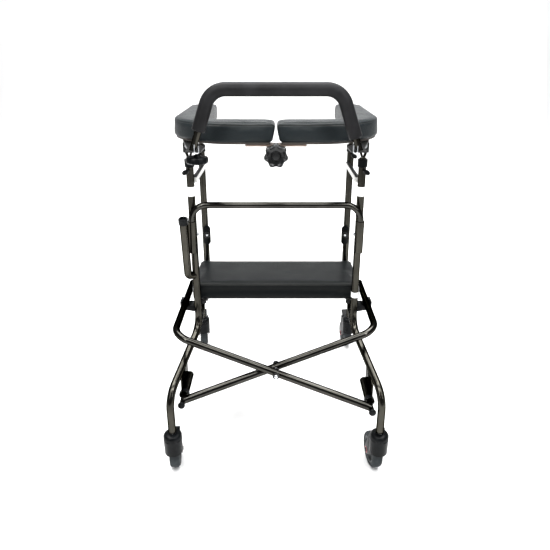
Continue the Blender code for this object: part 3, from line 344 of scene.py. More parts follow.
def vinyl_finish(name, color, seam_height):
    finish = Finish(name, color, 0.38, 0.0, Specular_IOR_Level=0.10,
                    Specular_Tint=(1.0, 0.98, 0.91, 1.0), Sheen_Weight=0.02, Sheen_Roughness=0.4)
    grain = finish.between(finish.cells(720.0), 0.0, 0.25)
    pull = finish.noise(16.0, 2.0)
    seam = finish.math("ABSOLUTE", finish.axis("Z") - seam_height, 0.0)
    groove_and_shade = finish.between(seam, 0.0, 0.0016)
    # Painted shade: along the seam the base colour is darkened nearly to black, standing in for the
    # shade in its groove; the groove's dent itself is a real bump.
    finish.feed("Base Color", finish.mix(groove_and_shade, (0.004, 0.005, 0.005, 1.0), (*color, 1.0)))
    finish.feed("Roughness", grain * -0.08 + pull * 0.16 + 0.36)
    finish.bump(grain * 0.00007 + pull * 0.0011 + groove_and_shade * 0.0011, 1.0, 0.9)
    return finish


pad_vinyl = vinyl_finish("pad vinyl", (0.0105, 0.0135, 0.0152), 0.9915)
# Painted shade: the seat is the same vinyl as the pads, given a darker base colour that stands in
# for the shade it sits in below the pads.
seat_vinyl_shaded = vinyl_finish("seat vinyl with painted shade", (0.0026, 0.0036, 0.0042), 0.4765)

foam_skin = Finish("grip foam", (0.012, 0.012, 0.013), 0.45, 0.0, Specular_IOR_Level=0.07)
pores = foam_skin.noise(1400.0, 2.0)
foam_skin.feed("Base Color", foam_skin.mix(foam_skin.between(foam_skin.noise(22.0), 0.3, 0.7),
                                           (0.008, 0.008, 0.0085, 1.0), (0.013, 0.013, 0.014, 1.0)))
foam_skin.feed("Roughness", pores * 0.2 + 0.34)
foam_skin.bump(pores, 0.00025, 0.5)

tyre_rubber = Finish("tyre rubber", (0.030, 0.033, 0.034), 0.78, 0.0, Specular_IOR_Level=0.2)
scuff = tyre_rubber.noise(60.0, 5.0)
tyre_rubber.feed("Base Color", tyre_rubber.mix(tyre_rubber.between(scuff, 0.35, 0.75),
                                               (0.016, 0.020, 0.022, 1.0),
                                               (0.034, 0.038, 0.040, 1.0)))
tyre_rubber.feed("Roughness", scuff * 0.2 + 0.65)
tyre_rubber.bump(tyre_rubber.noise(900.0), 0.0001, 0.5)

board_stain = Finish("dark plywood", (0.020, 0.018, 0.016), 0.70, 0.0)
fibre = board_stain.noise(40.0, 5.0, (1.0, 12.0, 12.0))
board_stain.feed("Base Color", board_stain.mix(fibre, (0.012, 0.010, 0.009, 1.0),
                                               (0.045, 0.038, 0.032, 1.0)))
board_stain.feed("Roughness", fibre * 0.2 + 0.60)
board_stain.bump(fibre, 0.0002, 0.5)

red_pip = Finish("red wear mark", (0.55, 0.16, 0.17), 0.5, 0.0)
red_pip.feed("Roughness", red_pip.noise(300.0) * 0.2 + 0.4)
print("soft finishes ready")

# %% [markdown]
# Every new piece ends the same way: its seams are merged, its faces turned outwards, and its
# edges kept crisp where two faces meet at a clear angle. It then rides on one body of the walker.

# %% Finish a piece


def piece(name, bm, finish, body, *stands_for, sharp=35):
    bmesh.ops.remove_doubles(bm, verts=bm.verts, dist=1e-6)
    bmesh.ops.recalc_face_normals(bm, faces=bm.faces)
    bmesh.ops.translate(bm, verts=bm.verts, vec=STEP)
    mesh = bpy.data.meshes.new(name)
    bm.to_mesh(mesh)
    bm.free()
    mesh.materials.append(finish.material)
    mesh.shade_smooth()
    mesh.set_sharp_from_angle(angle=math.radians(sharp))
    made = linked(name, mesh)
    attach(made, body)
    if stands_for:
        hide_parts(*stands_for)
    return made


# %% [markdown]
# A tube bender clamps a straight tube, pushes it forward and rolls it round a former. The helper
# does the same: it extrudes a circle along each straight run, and spins it round the centre of
# each bend.

# %% Bent tubes


def bent_tube(points, bend, radius, sides=32, bend_steps=10):
    bm = bmesh.new()
    points = [Vector(p) for p in points]
    heading = (points[1] - points[0]).normalized()
    place = Matrix.Translation(points[0]) @ heading.to_track_quat("Z", "Y").to_matrix().to_4x4()
    bmesh.ops.create_circle(bm, cap_ends=False, radius=radius, segments=sides, matrix=place)
    start = list(bm.edges)
    rim = start
    here = points[0]
    for before, corner, after in zip(points, points[1:], points[2:]):
        back = (before - corner).normalized()
        ahead = (after - corner).normalized()
        turn = math.pi - back.angle(ahead)
        reach = bend * math.tan(turn / 2)
        centre = corner + (back + ahead).normalized() * bend / math.cos(turn / 2)
        grown = bmesh.ops.extrude_edge_only(bm, edges=rim)["geom"]
        bmesh.ops.translate(bm, verts=verts_of(grown), vec=corner + back * reach - here)
        rim = edges_of(grown)
        spun = bmesh.ops.spin(bm, geom=rim, cent=centre, axis=back.cross(ahead).normalized() * -1,
                              angle=turn, steps=bend_steps)["geom_last"]
        rim = edges_of(spun)
        here = corner + ahead * reach
    grown = bmesh.ops.extrude_edge_only(bm, edges=rim)["geom"]
    bmesh.ops.translate(bm, verts=verts_of(grown), vec=points[-1] - here)
    bmesh.ops.edgeloop_fill(bm, edges=edges_of(grown))
    bmesh.ops.edgeloop_fill(bm, edges=start)
    return bm


def turned(profile, origin, axis, sides=40):
    """A turned solid: the profile of (distance along the axis, radius) is spun a full turn."""
    bm = bmesh.new()
    along = Vector(axis).normalized()
    out = along.orthogonal().normalized()
    spots = [bm.verts.new(Vector(origin) + along * a + out * r) for a, r in profile]
    for a, b in zip(spots, spots[1:]):
        if (a.co - b.co).length > 1e-9:
            bm.edges.new((a, b))
    bmesh.ops.spin(bm, geom=list(bm.verts) + list(bm.edges), cent=origin, axis=along,
                   angle=2 * math.pi, steps=sides, use_merge=True)
    bmesh.ops.remove_doubles(bm, verts=bm.verts, dist=1e-7)
    return bm


def plate(outline, axis, low, high, bevel=0.0008):
    """A flat outline, pushed along one axis, with a small bevel on every edge."""
    bm = bmesh.new()
    order = {"X": (2, 0, 1), "Y": (0, 2, 1), "Z": (0, 1, 2)}[axis]
    spots = []
    for pair in outline:
        triple = (*pair, low)
        spots.append(bm.verts.new([triple[k] for k in order]))
    face = bm.faces.new(spots)
    grown = bmesh.ops.extrude_face_region(bm, geom=[face])["geom"]
    push = Vector([float(axis == name) for name in "XYZ"]) * (high - low)
    bmesh.ops.translate(bm, verts=verts_of(grown), vec=push)
    bmesh.ops.recalc_face_normals(bm, faces=bm.faces)
    bmesh.ops.bevel(bm, geom=list(bm.edges), offset=bevel, segments=2, profile=0.5,
                    affect="EDGES", material=-1, clamp_overlap=True)
    return bm


def block(low, high, bevel=0.0008):
    corners = [(low[0], low[1]), (high[0], low[1]), (high[0], high[1]), (low[0], high[1])]
    return plate(corners, "Z", low[2], high[2], bevel)


def arc(centre, radius, start, end, steps=10):
    angles = [math.radians(start + (end - start) * k / steps) for k in range(steps + 1)]
    return [(centre[0] + radius * math.cos(a), centre[1] + radius * math.sin(a)) for a in angles]


def together(*meshes):
    whole = bmesh.new()
    for bm in meshes:
        data = bpy.data.meshes.new("part")
        bm.to_mesh(data)
        bm.free()
        whole.from_mesh(data)
        bpy.data.meshes.remove(data)
    return whole


def moved(bm, matrix):
    bmesh.ops.transform(bm, matrix=matrix, verts=bm.verts)
    return bm


def object_from(bm, name):
    mesh = bpy.data.meshes.new(name)
    bm.to_mesh(mesh)
    bm.free()
    return linked(name, mesh)


def applied(obj):
    """The mesh of an object as its modifiers leave it."""
    bpy.context.view_layer.update()
    seen = obj.evaluated_get(bpy.context.evaluated_depsgraph_get())
    mesh = bpy.data.meshes.new_from_object(seen)
    bpy.data.objects.remove(obj)
    return mesh


def carved(bm, tool):
    """The form with another form cut out of it."""
    body, cutter = object_from(bm, "carving"), object_from(tool, "carving tool")
    cut = body.modifiers.new("cut", "BOOLEAN")
    cut.operation = "DIFFERENCE"
    cut.object = cutter
    mesh = applied(body)
    bpy.data.objects.remove(cutter)
    left = bmesh.new()
    left.from_mesh(mesh)
    bpy.data.meshes.remove(mesh)
    return left


print("tube bender ready")

# %% [markdown]
# Each front leg is one tube: the post, a knee, a slope forward and out, an ankle and the foot.
# The crossbar's sleeve is welded on its front. Under the slope a plate holds the bearing tube
# that the brace turns in, with a black collar pressed over its front end.

# %% Front and rear legs


def bore_wall(low, high, outer, inner, origin, axis, edge=0.0008):
    """A length of pipe with rounded rims."""
    return turned([(low, inner + edge), (low, outer - edge), (low + edge, outer),
                   (high - edge, outer), (high, outer - edge), (high, inner + edge),
                   (high - edge, inner), (low + edge, inner), (low, inner + edge)], origin, axis)


def front_leg_path(sign):
    foot = (sign * FRONT_FOOT[0], FRONT_FOOT[1])
    return [(sign * POST_X, FRONT_POST_Y, POST_TOP), (sign * POST_X, FRONT_POST_Y, FRONT_KNEE_Z),
            (*foot, FRONT_ANKLE_Z), (*foot, LEG_END)]


def rear_leg_path(sign):
    foot = (sign * REAR_FOOT[0], REAR_FOOT[1])
    return [(sign * POST_X, REAR_POST_Y, POST_TOP), (sign * POST_X, REAR_POST_Y, REAR_KNEE_Z),
            (*foot, REAR_ANKLE_Z), (*foot, LEG_END)]


def stem_nut(sign, foot):
    return turned([(0.0, 0.0), (0.0, 0.0090), (0.0006, 0.0100), (0.0037, 0.0100), (0.0043, 0.0090),
                   (0.0043, 0.0)], (sign * foot[0], foot[1], 0.1458), UP, 6)


def slope_z(y):
    """Height of a front leg's slope at a place along the walker."""
    share = (y - FRONT_POST_Y) / (FRONT_FOOT[1] - FRONT_POST_Y)
    return FRONT_KNEE_Z - (FRONT_KNEE_Z - FRONT_ANKLE_Z) * share


def pivot_start(sign):
    """Where a brace's pivot tube begins: the left one lies a step further back."""
    return PIVOT_FRONT + (BRACE_STEP if sign < 0 else 0.0)


BEARING_FROM, BEARING_TO = 0.044, 0.146
GUSSET_BOTTOM = 0.227
for side, sign in SIDES:
    body = f"{side}_frame"
    piece(f"{side}_front_leg_tube", bent_tube(front_leg_path(sign), LEG_BEND, TUBE_R), tube_lacquer,
          body, f"{side}_front_leg")
    sleeve = bore_wall(0.0, 0.098, 0.012, 0.0101, (sign * POST_X, BAR_Y, 0.606), UP)
    piece(f"{side}_crossbar_sleeve", sleeve, tube_lacquer, body)
    low_y, high_y = pivot_start(sign) + BEARING_FROM, pivot_start(sign) + BEARING_TO
    gusset = [(low_y, GUSSET_BOTTOM), (high_y, GUSSET_BOTTOM), (high_y, slope_z(high_y) - 0.0044),
              (low_y, slope_z(low_y) - 0.0044)]
    faces = sorted((sign * 0.2737, sign * 0.2777))
    piece(f"{side}_gusset", plate(gusset, "X", *faces), tube_lacquer, body)
    bearing = bore_wall(0.0, high_y - low_y, 0.0128, 0.0078, (sign * PIVOT[0], low_y, PIVOT[1]),
                        BACK)
    piece(f"{side}_brace_bearing", bearing, bright_lacquer, body)
    collar = bore_wall(0.0, 0.012, 0.0150, 0.0127, (sign * PIVOT[0], low_y, PIVOT[1]), BACK)
    piece(f"{side}_bearing_collar", collar, black_plastic, body)
    piece(f"{side}_rear_leg_tube", bent_tube(rear_leg_path(sign), LEG_BEND, TUBE_R), tube_lacquer,
          body, f"{side}_rear_leg")
    share = (REAR_KNEE_Z - SIDE_TUBE_Z) / (REAR_KNEE_Z - REAR_ANKLE_Z)
    joint = (sign * (POST_X + (REAR_FOOT[0] - POST_X) * share),
             REAR_POST_Y + (REAR_FOOT[1] - REAR_POST_Y) * share, SIDE_TUBE_Z)
    lower = bent_tube([(sign * POST_X, FRONT_POST_Y + 0.004, SIDE_TUBE_Z), joint], 0.01,
                      THIN_TUBE_R)
    piece(f"{side}_lower_side_tube", lower, tube_lacquer, body)
    for end, foot in FEET:
        piece(f"{side}_{end}_stem_nut", stem_nut(sign, foot), zinc, body, sharp=20)
print("legs made")

# %% [markdown]
# The two crossed tubes start at a pivot tube low on one side, run up to the other side, turn
# through a plan bend and end as the rail that carries the seat's side. A bolt with a spacer
# holds them where they cross.

# %% X brace
PIVOT_R = 0.0072
PIVOT_LENGTH = 0.150
BRACE_FOOT_Y, RAIL_START_Y, RAIL_END_Y = -0.322, -0.212, 0.160


def brace_points(sign):
    back = BRACE_STEP if sign < 0 else 0.0
    span = PIVOT[0] + RAIL[0]
    low = Vector((sign * PIVOT[0], BRACE_FOOT_Y + back, PIVOT[1]))
    rise = (RAIL[1] - PIVOT[1]) / span
    lean = (RAIL_START_Y - BRACE_FOOT_Y) / (span - LEG_BEND * 0.98)
    corner = Vector((-sign * RAIL[0], low.y + lean * span, low.z + rise * span))
    crossing = Vector((0.0, low.y + lean * PIVOT[0], low.z + rise * PIVOT[0]))
    return [low, corner, Vector((-sign * RAIL[0], RAIL_END_Y, RAIL[1]))], crossing


for name, sign in (("brace_a", -1), ("brace_b", 1)):
    path = brace_points(sign)[0]
    front = pivot_start(sign)
    piece(f"{name}_tube", bent_tube(path, LEG_BEND, TUBE_R, bend_steps=14), bright_lacquer, name,
          name)
    pivot_tube = turned([(0, 0), (0, PIVOT_R - 0.0006), (0.0006, PIVOT_R),
                         (PIVOT_LENGTH - 0.0006, PIVOT_R), (PIVOT_LENGTH, PIVOT_R - 0.0006),
                         (PIVOT_LENGTH, 0)], (sign * PIVOT[0], front, PIVOT[1]), BACK)
    piece(f"{name}_pivot_tube", pivot_tube, bright_lacquer, name)
    cap = turned([(0, 0), (0, 0.0075), (0.0012, 0.0095), (0.0035, 0.0105), (0.0057, 0.0105),
                  (0.0057, 0)], (sign * PIVOT[0], front - 0.0063, PIVOT[1]), BACK)
    piece(f"{name}_foot_cap", cap, black_plastic, name, f"{name}_end_cap")
    plug = turned([(0, 0), (0, TUBE_R + 0.0006), (0.003, TUBE_R + 0.0006), (0.006, 0.0085),
                   (0.0065, 0)], path[-1] + Vector((0, 0.0001, 0)), BACK)
    piece(f"{name}_rail_plug", plug, black_plastic, name)
print("brace made")

# %% [markdown]
# The bolt has a domed head and a washer in front, a spacer between the tubes and a nut behind.

# %% Brace bolt
front_cross = brace_points(1)[1]
rear_cross = brace_points(-1)[1]
head_y = front_cross.y - TUBE_R - 0.0028
tail_y = rear_cross.y + TUBE_R + 0.0028
washer = turned([(-0.0042, 0), (-0.0042, 0.0092), (-0.0034, 0.0102), (-0.0006, 0.0105),
                 (0.0, 0.0100), (0.0, 0.0040), (0.020, 0.0040)], (0, head_y, front_cross.z), BACK)
piece("brace_bolt_washer", washer, black_steel, "brace_a", "brace_bolt")
bolt = turned([(-0.009, 0), (-0.0088, 0.0026), (-0.0078, 0.0048), (-0.0060, 0.0058),
               (-0.0043, 0.0060), (-0.0043, 0)], (0, head_y, front_cross.z), BACK)
piece("brace_bolt_head", bolt, zinc, "brace_a")
gap_low = front_cross.y + TUBE_R + 0.0018
gap_high = rear_cross.y - TUBE_R - 0.0018
spacer = turned([(0, 0), (0, 0.0065), (gap_high - gap_low, 0.0065), (gap_high - gap_low, 0)],
                (0, gap_low, front_cross.z), BACK)
piece("brace_spacer", spacer, zinc, "brace_a")
nut = together(turned([(0, 0), (0, 0.0098), (0.0035, 0.0098), (0.0035, 0)],
                      (0, tail_y, front_cross.z), BACK),
               turned([(0.0035, 0), (0.0035, 0.0064), (0.0088, 0.0058), (0.009, 0)],
                      (0, tail_y, front_cross.z), BACK, 6))
piece("brace_bolt_nut", nut, zinc, "brace_a", sharp=20)
print("bolt made")

# %% [markdown]
# The crossbar is a bent tube that drops into sleeves. The white flat bars stiffen the tops of the
# posts, and the saddles on the lower tubes catch the seat rails when the frame opens.

# %% Crossbar, side bars and saddles
BAR_Z = 0.753
FLAT_LOW, FLAT_HIGH, FLAT_EDGE = 0.812, 0.828, 0.0010
bar_path = [(-POST_X, BAR_Y, 0.674), (-POST_X, BAR_Y, BAR_Z), (POST_X, BAR_Y, BAR_Z),
            (POST_X, BAR_Y, 0.7046)]
piece("crossbar_tube", bent_tube(bar_path, 0.046, THIN_TUBE_R, bend_steps=14), bright_lacquer,
      "crossbar", "crossbar")
for side, sign in SIDES:
    body = f"{side}_frame"
    x = sign * (POST_X - 0.0105)
    bar = block((x - 0.006, FRONT_POST_Y + 0.0085, FLAT_LOW),
                (x + 0.006, REAR_POST_Y - 0.0085, FLAT_HIGH), 0.0015)
    piece(f"{side}_flat_bar", bar, white_coat, body, f"{side}_side_bar")
    for edge, z in (("lower", FLAT_LOW - 0.0002), ("upper", FLAT_HIGH - 0.0008)):
        strip = block((x - 0.0062, FRONT_POST_Y + 0.0088, z),
                      (x + 0.0062, REAR_POST_Y - 0.0088, z + FLAT_EDGE), 0.0003)
        piece(f"{side}_flat_bar_{edge}_edge", strip, black_steel, body)
    low, seat_z = SIDE_TUBE_Z - 0.0057, RAIL[1] - TUBE_R - GAP
    inner, outer = RAIL[0] - TUBE_R - 0.0066, RAIL[0] + TUBE_R + 0.0066
    outline = [(POST_X + 0.0095, low), (outer, low + 0.012), (outer, 0.384), (outer - 0.006, 0.384),
               (outer - 0.006, seat_z), (inner + 0.006, seat_z), (inner + 0.006, 0.370),
               (POST_X + 0.0095, 0.366)]
    piece(f"{side}_saddle", plate([(sign * a, b) for a, b in outline], "Y", 0.004, 0.044, 0.0015),
          black_plastic, body, f"{side}_rail_saddle")
print("crossbar made")

# %% [markdown]
# The posts end in black collars, and a thumb knob under each one clamps the riser. The risers
# are thinner tubes of the same paint, with a forked top that holds the pad's hinge.

# %% Collars, knobs and risers


def thumb_knob(place, out):
    ribbed = turned([(0, 0), (0, 0.006), (0.004, 0.006), (0.0045, 0.0088), (0.006, 0.0095),
                     (0.0175, 0.0095), (0.0195, 0.0080), (0.0200, 0)], (0, 0, 0), UP, 48)
    for vert in ribbed.verts:
        radius = vert.co.xy.length
        if radius > 0.0085:
            angle = math.atan2(vert.co.y, vert.co.x)
            vert.co.xy *= 1 - 0.06 * (1 + math.cos(12 * angle)) / 2
    bmesh.ops.scale(ribbed, vec=(0.72, 1.0, 1.0), verts=ribbed.verts)
    turn = Vector(out).normalized().to_track_quat("Z", "Y").to_matrix().to_4x4()
    wing = Matrix.Rotation(math.copysign(math.radians(55), out[0]), 4, "Z")
    return moved(ribbed, Matrix.Translation(place) @ turn @ wing)


for side, sign in SIDES:
    body = f"{side}_frame"
    out = (sign * 0.37, -0.93, 0)
    for end, y in POSTS:
        collar = bore_wall(0.0, 0.023, 0.014, 0.0097, (sign * POST_X, y, POST_TOP + GAP), UP,
                           0.0012)
        piece(f"{side}_{end}_top_collar", collar, black_plastic, body, f"{side}_{end}_collar")
        place = Vector((sign * POST_X, y, 0.849)) + Vector(out).normalized() * (TUBE_R + GAP)
        piece(f"{side}_{end}_clamp_knob", thumb_knob(place, out), black_plastic,
              f"{side}_{end}_thumb", f"{side}_{end}_thumb_knob")
        tube = turned([(0, 0), (0, 0.0092), (0.2260, 0.0092), (0.2260, 0)],
                      (sign * POST_X, y, 0.660), UP)
        fork = []
        for lean in (-1, 1):
            arm = [(lean * -0.0015, 0.8840), (lean * 0.0040, 0.8840), (lean * 0.0105, 0.9029),
                   (lean * 0.0048, 0.9029)]
            fork.append(plate([(sign * POST_X + a, b) for a, b in arm], "Y", y - 0.0075,
                              y + 0.0075, 0.0008))
        piece(f"{side}_{end}_riser_tube", together(tube, *fork), tube_lacquer, f"{side}_upper",
              f"{side}_{end}_riser")
    bands = ((0.775, 0.803), (0.448, 0.466)) if sign > 0 else ((0.775, 0.803),)
    for low, high in bands:
        band = bore_wall(low, high, TUBE_R + 0.0004, TUBE_R - 0.0004,
                         (sign * POST_X, FRONT_POST_Y, 0), UP, 0.0002)
        piece(f"{side}_bare_band_{round(low * 1000)}", band, label_paper, body)
    post_bolt = turned([(0, 0), (0, 0.0055), (0.0022, 0.0055), (0.0022, 0.0040), (0.0072, 0.0038),
                        (0.0078, 0)],
                       (sign * (POST_X - TUBE_R + 0.0006), FRONT_POST_Y - 0.002, 0.6575),
                       (-sign, 0, 0), 24)
    piece(f"{side}_post_bolt", post_bolt, zinc, body)
print("post tops made")

# %% [markdown]
# Each pad turns on two bolts. A pressed channel stands on the riser, and a block under the pad
# fits between its ears. At the front the channel grows into an arm that carries the push handle.

# %% Hinge channels and handle arms
EAR_HALF = 0.0135
for side, sign in SIDES:
    for end, y in POSTS:
        x = sign * POST_X
        web = block((x - 0.013, y - EAR_HALF - 0.003, 0.9035),
                    (x + 0.013, y + EAR_HALF + 0.003, 0.9062), 0.0006)
        parts = [web]
        for low in (y - EAR_HALF - 0.003, y + EAR_HALF):
            ear = [(x - 0.013, 0.9040), (x + 0.013, 0.9040),
                   *arc((x + 0.007, 0.9285), 0.006, 0, 90, 5),
                   *arc((x - 0.007, 0.9285), 0.006, 90, 180, 5)]
            parts.append(plate(ear, "Y", low, low + 0.003, 0.0005))
        if end == "front":
            arm = [(sign * a, b) for a, b in ((0.250, -0.0985), (0.250, -0.1285), (0.2236, -0.225),
                                              (0.2216, -0.271), (0.1836, -0.271), (0.1816, -0.210),
                                              (0.233, -0.0985))]
            parts.append(plate(arm, "Z", 0.9355, 0.9395, 0.0008))
            flange = sorted((sign * 0.250, sign * 0.233))
            parts.append(block((flange[0], -0.1010, 0.930), (flange[1], -0.0975, 0.9392), 0.0006))
        stands_for = [f"{side}_hinge_bracket"] if end == "front" else []
        piece(f"{side}_{end}_hinge_channel", together(*parts), black_steel, f"{side}_upper",
              *stands_for)
        for face, out in ((y - EAR_HALF - 0.003, -1), (y + EAR_HALF + 0.003, 1)):
            head = turned([(0, 0), (0, 0.0075), (0.0010, 0.0075), (0.0010, 0.0056),
                           (0.0042, 0.0052), (0.0045, 0)], (x, face, FLIP_Z), (0, out, 0), 24)
            piece(f"{side}_{end}_hinge_bolt_{'front' if out < 0 else 'back'}", head, zinc,
                  f"{side}_upper")
print("hinges made")

# %% [markdown]
# The push handle stands on the two arms. Its foam sleeve is nearly twice as thick as the tube,
# with rounded ends, and a small wire clip hooks round each foot.

# %% Push handle
HANDLE_Y, HANDLE_BEND = -0.255, 0.050
HANDLE_FOOT_X, HANDLE_TOP_X = 0.2056, 0.156
FOAM_R, FOAM_END_LEFT, FOAM_END_RIGHT = 0.0168, 0.986, 0.969
top, base = 1.0836, 0.9398
lean = (HANDLE_FOOT_X - HANDLE_TOP_X) / (top - base)
tube_path = [(-HANDLE_FOOT_X, HANDLE_Y, base), (-HANDLE_TOP_X, HANDLE_Y, top),
             (HANDLE_TOP_X, HANDLE_Y, top), (HANDLE_FOOT_X, HANDLE_Y, base)]
handle = bent_tube(tube_path, HANDLE_BEND, THIN_TUBE_R, bend_steps=14)
for vert in handle.verts:
    if vert.co.z < base + 0.006:
        vert.co.z = base
piece("handle_steel_tube", handle, tube_lacquer, "handle", "handle_tube")
foam_path = [(-HANDLE_TOP_X - lean * (top - FOAM_END_LEFT), HANDLE_Y, FOAM_END_LEFT), tube_path[1],
             tube_path[2], (HANDLE_TOP_X + lean * (top - FOAM_END_RIGHT), HANDLE_Y, FOAM_END_RIGHT)]
foam = bent_tube(foam_path, HANDLE_BEND, FOAM_R, 40, 16)
caps = [face for face in foam.faces if len(face.verts) > 4]
rims = list({edge for face in caps for edge in face.edges})
bmesh.ops.bevel(foam, geom=rims, offset=0.003, segments=4, profile=0.5, affect="EDGES", material=-1)
piece("handle_foam_grip", foam, foam_skin, "handle", "handle_foam")
for side, sign in SIDES:
    x, y = sign * 0.193, HANDLE_Y - 0.0192
    wire = bent_tube([(x - 0.0050, y, 0.9560), (x - 0.0050, y, 0.9345), (x + 0.0050, y, 0.9345),
                      (x + 0.0050, y, 0.9530)], 0.0048, 0.0013, 16, 8)
    piece(f"{side}_handle_wire_clip", wire, zinc, "handle")
print("handle made")

# %% [markdown]
# The disc knob under the left arm and the star knob at the middle are turned by hand, so their
# rims are shaped to the fingers: shallow flutes on the disc and seven lobes on the star.

# %% Disc knob and star knob
disc = turned([(0, 0), (0, 0.010), (0.0030, 0.0250), (0.0060, 0.0283), (0.0160, 0.0285),
               (0.0190, 0.0265), (0.0200, 0.0220), (0.0200, 0.0100), (0.0240, 0.0080),
               (0.0240, 0.0040), (0.0355, 0.0040), (0.0355, 0)], (-0.199, -0.235, 0.8995), UP, 72)
centre = Vector((-0.199, -0.235))
for vert in disc.verts:
    arm = vert.co.xy - centre
    if arm.length > 0.024:
        flute = (1 + math.cos(18 * math.atan2(arm.y, arm.x))) / 2
        vert.co.xy = centre + arm * (1 - 0.035 * flute)
piece("disc_knob_grip", disc, black_plastic, "disc_knob", "disc_knob")

STAR_Z, LOBES = 0.9188, 7
star = turned([(0, 0), (0, 0.0260), (0.0015, 0.0293), (0.0050, 0.0318), (0.0150, 0.0320),
               (0.0190, 0.0311), (0.0205, 0.0288), (0.0200, 0.0262), (0.0165, 0.0222),
               (0.0155, 0.0140), (0.0190, 0.0112), (0.0215, 0.0095), (0.0220, 0)],
              (0, 0, 0), UP, 98)
for vert in star.verts:
    arm = vert.co.xy
    if arm.length > 0.012:
        reach = min(1.0, (arm.length - 0.012) / 0.012)
        wave = math.cos(LOBES * math.atan2(arm.x, arm.y))
        vert.co.xy = arm * (1 - 0.075 * (1 - wave) * reach)
back_y = -0.204 - 0.0053
facing = Matrix.Translation((0, back_y, STAR_Z)) @ Matrix.Rotation(math.radians(90), 4, "X")
shaft = turned([(-0.001, 0), (-0.001, 0.0130), (0.0050, 0.0130), (0.0050, 0.0040), (0.0096, 0.0040),
                (0.0096, 0.0110), (0.0141, 0.0110), (0.0141, 0.0075), (0.0160, 0.0070),
                (0.0160, 0)], (0, back_y, STAR_Z), BACK, 32)
piece("star_knob_grip", moved(star, facing), knob_plastic, "star_knob", "star_knob")
piece("star_knob_shaft", shaft, zinc, "star_knob")
print("knobs made")

# %% [markdown]
# A cane can stand in the slanted holder at the left. Its lower end hooks back to the post, and a
# ribbed cap protects its mouth.

# %% Cane holder
holder_top = Vector((-0.2615, -0.150, 0.722))
holder_low = Vector((-0.2655, -0.110, 0.550))
down = (holder_low - holder_top).normalized()
hook = [holder_top, holder_low + down * 0.020, Vector((-POST_X, FRONT_POST_Y + 0.004, 0.522))]
piece("cane_tube", bent_tube(hook, 0.018, 0.0118), tube_lacquer, "left_frame", "cane_holder_tube")
cap = turned([(0.0003, 0.0092), (0.0003, 0.0121), (-0.0120, 0.0121), (-0.0120, 0.0130),
              (-0.0110, 0.0138), (0.0045, 0.0138), (0.0060, 0.0126), (0.0060, 0.0102),
              (0.0050, 0.0092), (0.0003, 0.0092)], holder_top, -down, 40)
piece("cane_mouth_ring", cap, black_plastic, "left_frame", "cane_holder_cap")
mouth = turned([(0.0006, 0), (0.0006, 0.0091), (0.0008, 0.0091), (0.0008, 0)], holder_top, -down,
               32)
piece("cane_mouth_shadow", mouth, black_plastic, "left_frame")
print("cane holder made")

# %% [markdown]
# A caster turns round its stem: the hood covers the bearing, two cheeks reach back to the axle,
# and the wheel trails behind. The tyre has a rounded tread, and the wheel centre a dished web.

# %% Casters
YAW = math.radians(8)
WHEEL_R, TRAIL, HOOD_TOP, BRAKE_Y, BRAKE_Z = 0.0515, 0.040, 0.1455, 0.035, 0.131
ROOM_HALF, CHEEK_TOP = 0.0174, 0.1335
AXLE = (0, TRAIL, WHEEL_R)


def caster_place(sign, foot):
    return Matrix.Translation((sign * foot[0], foot[1], 0)) @ Matrix.Rotation(YAW, 4, "Z")


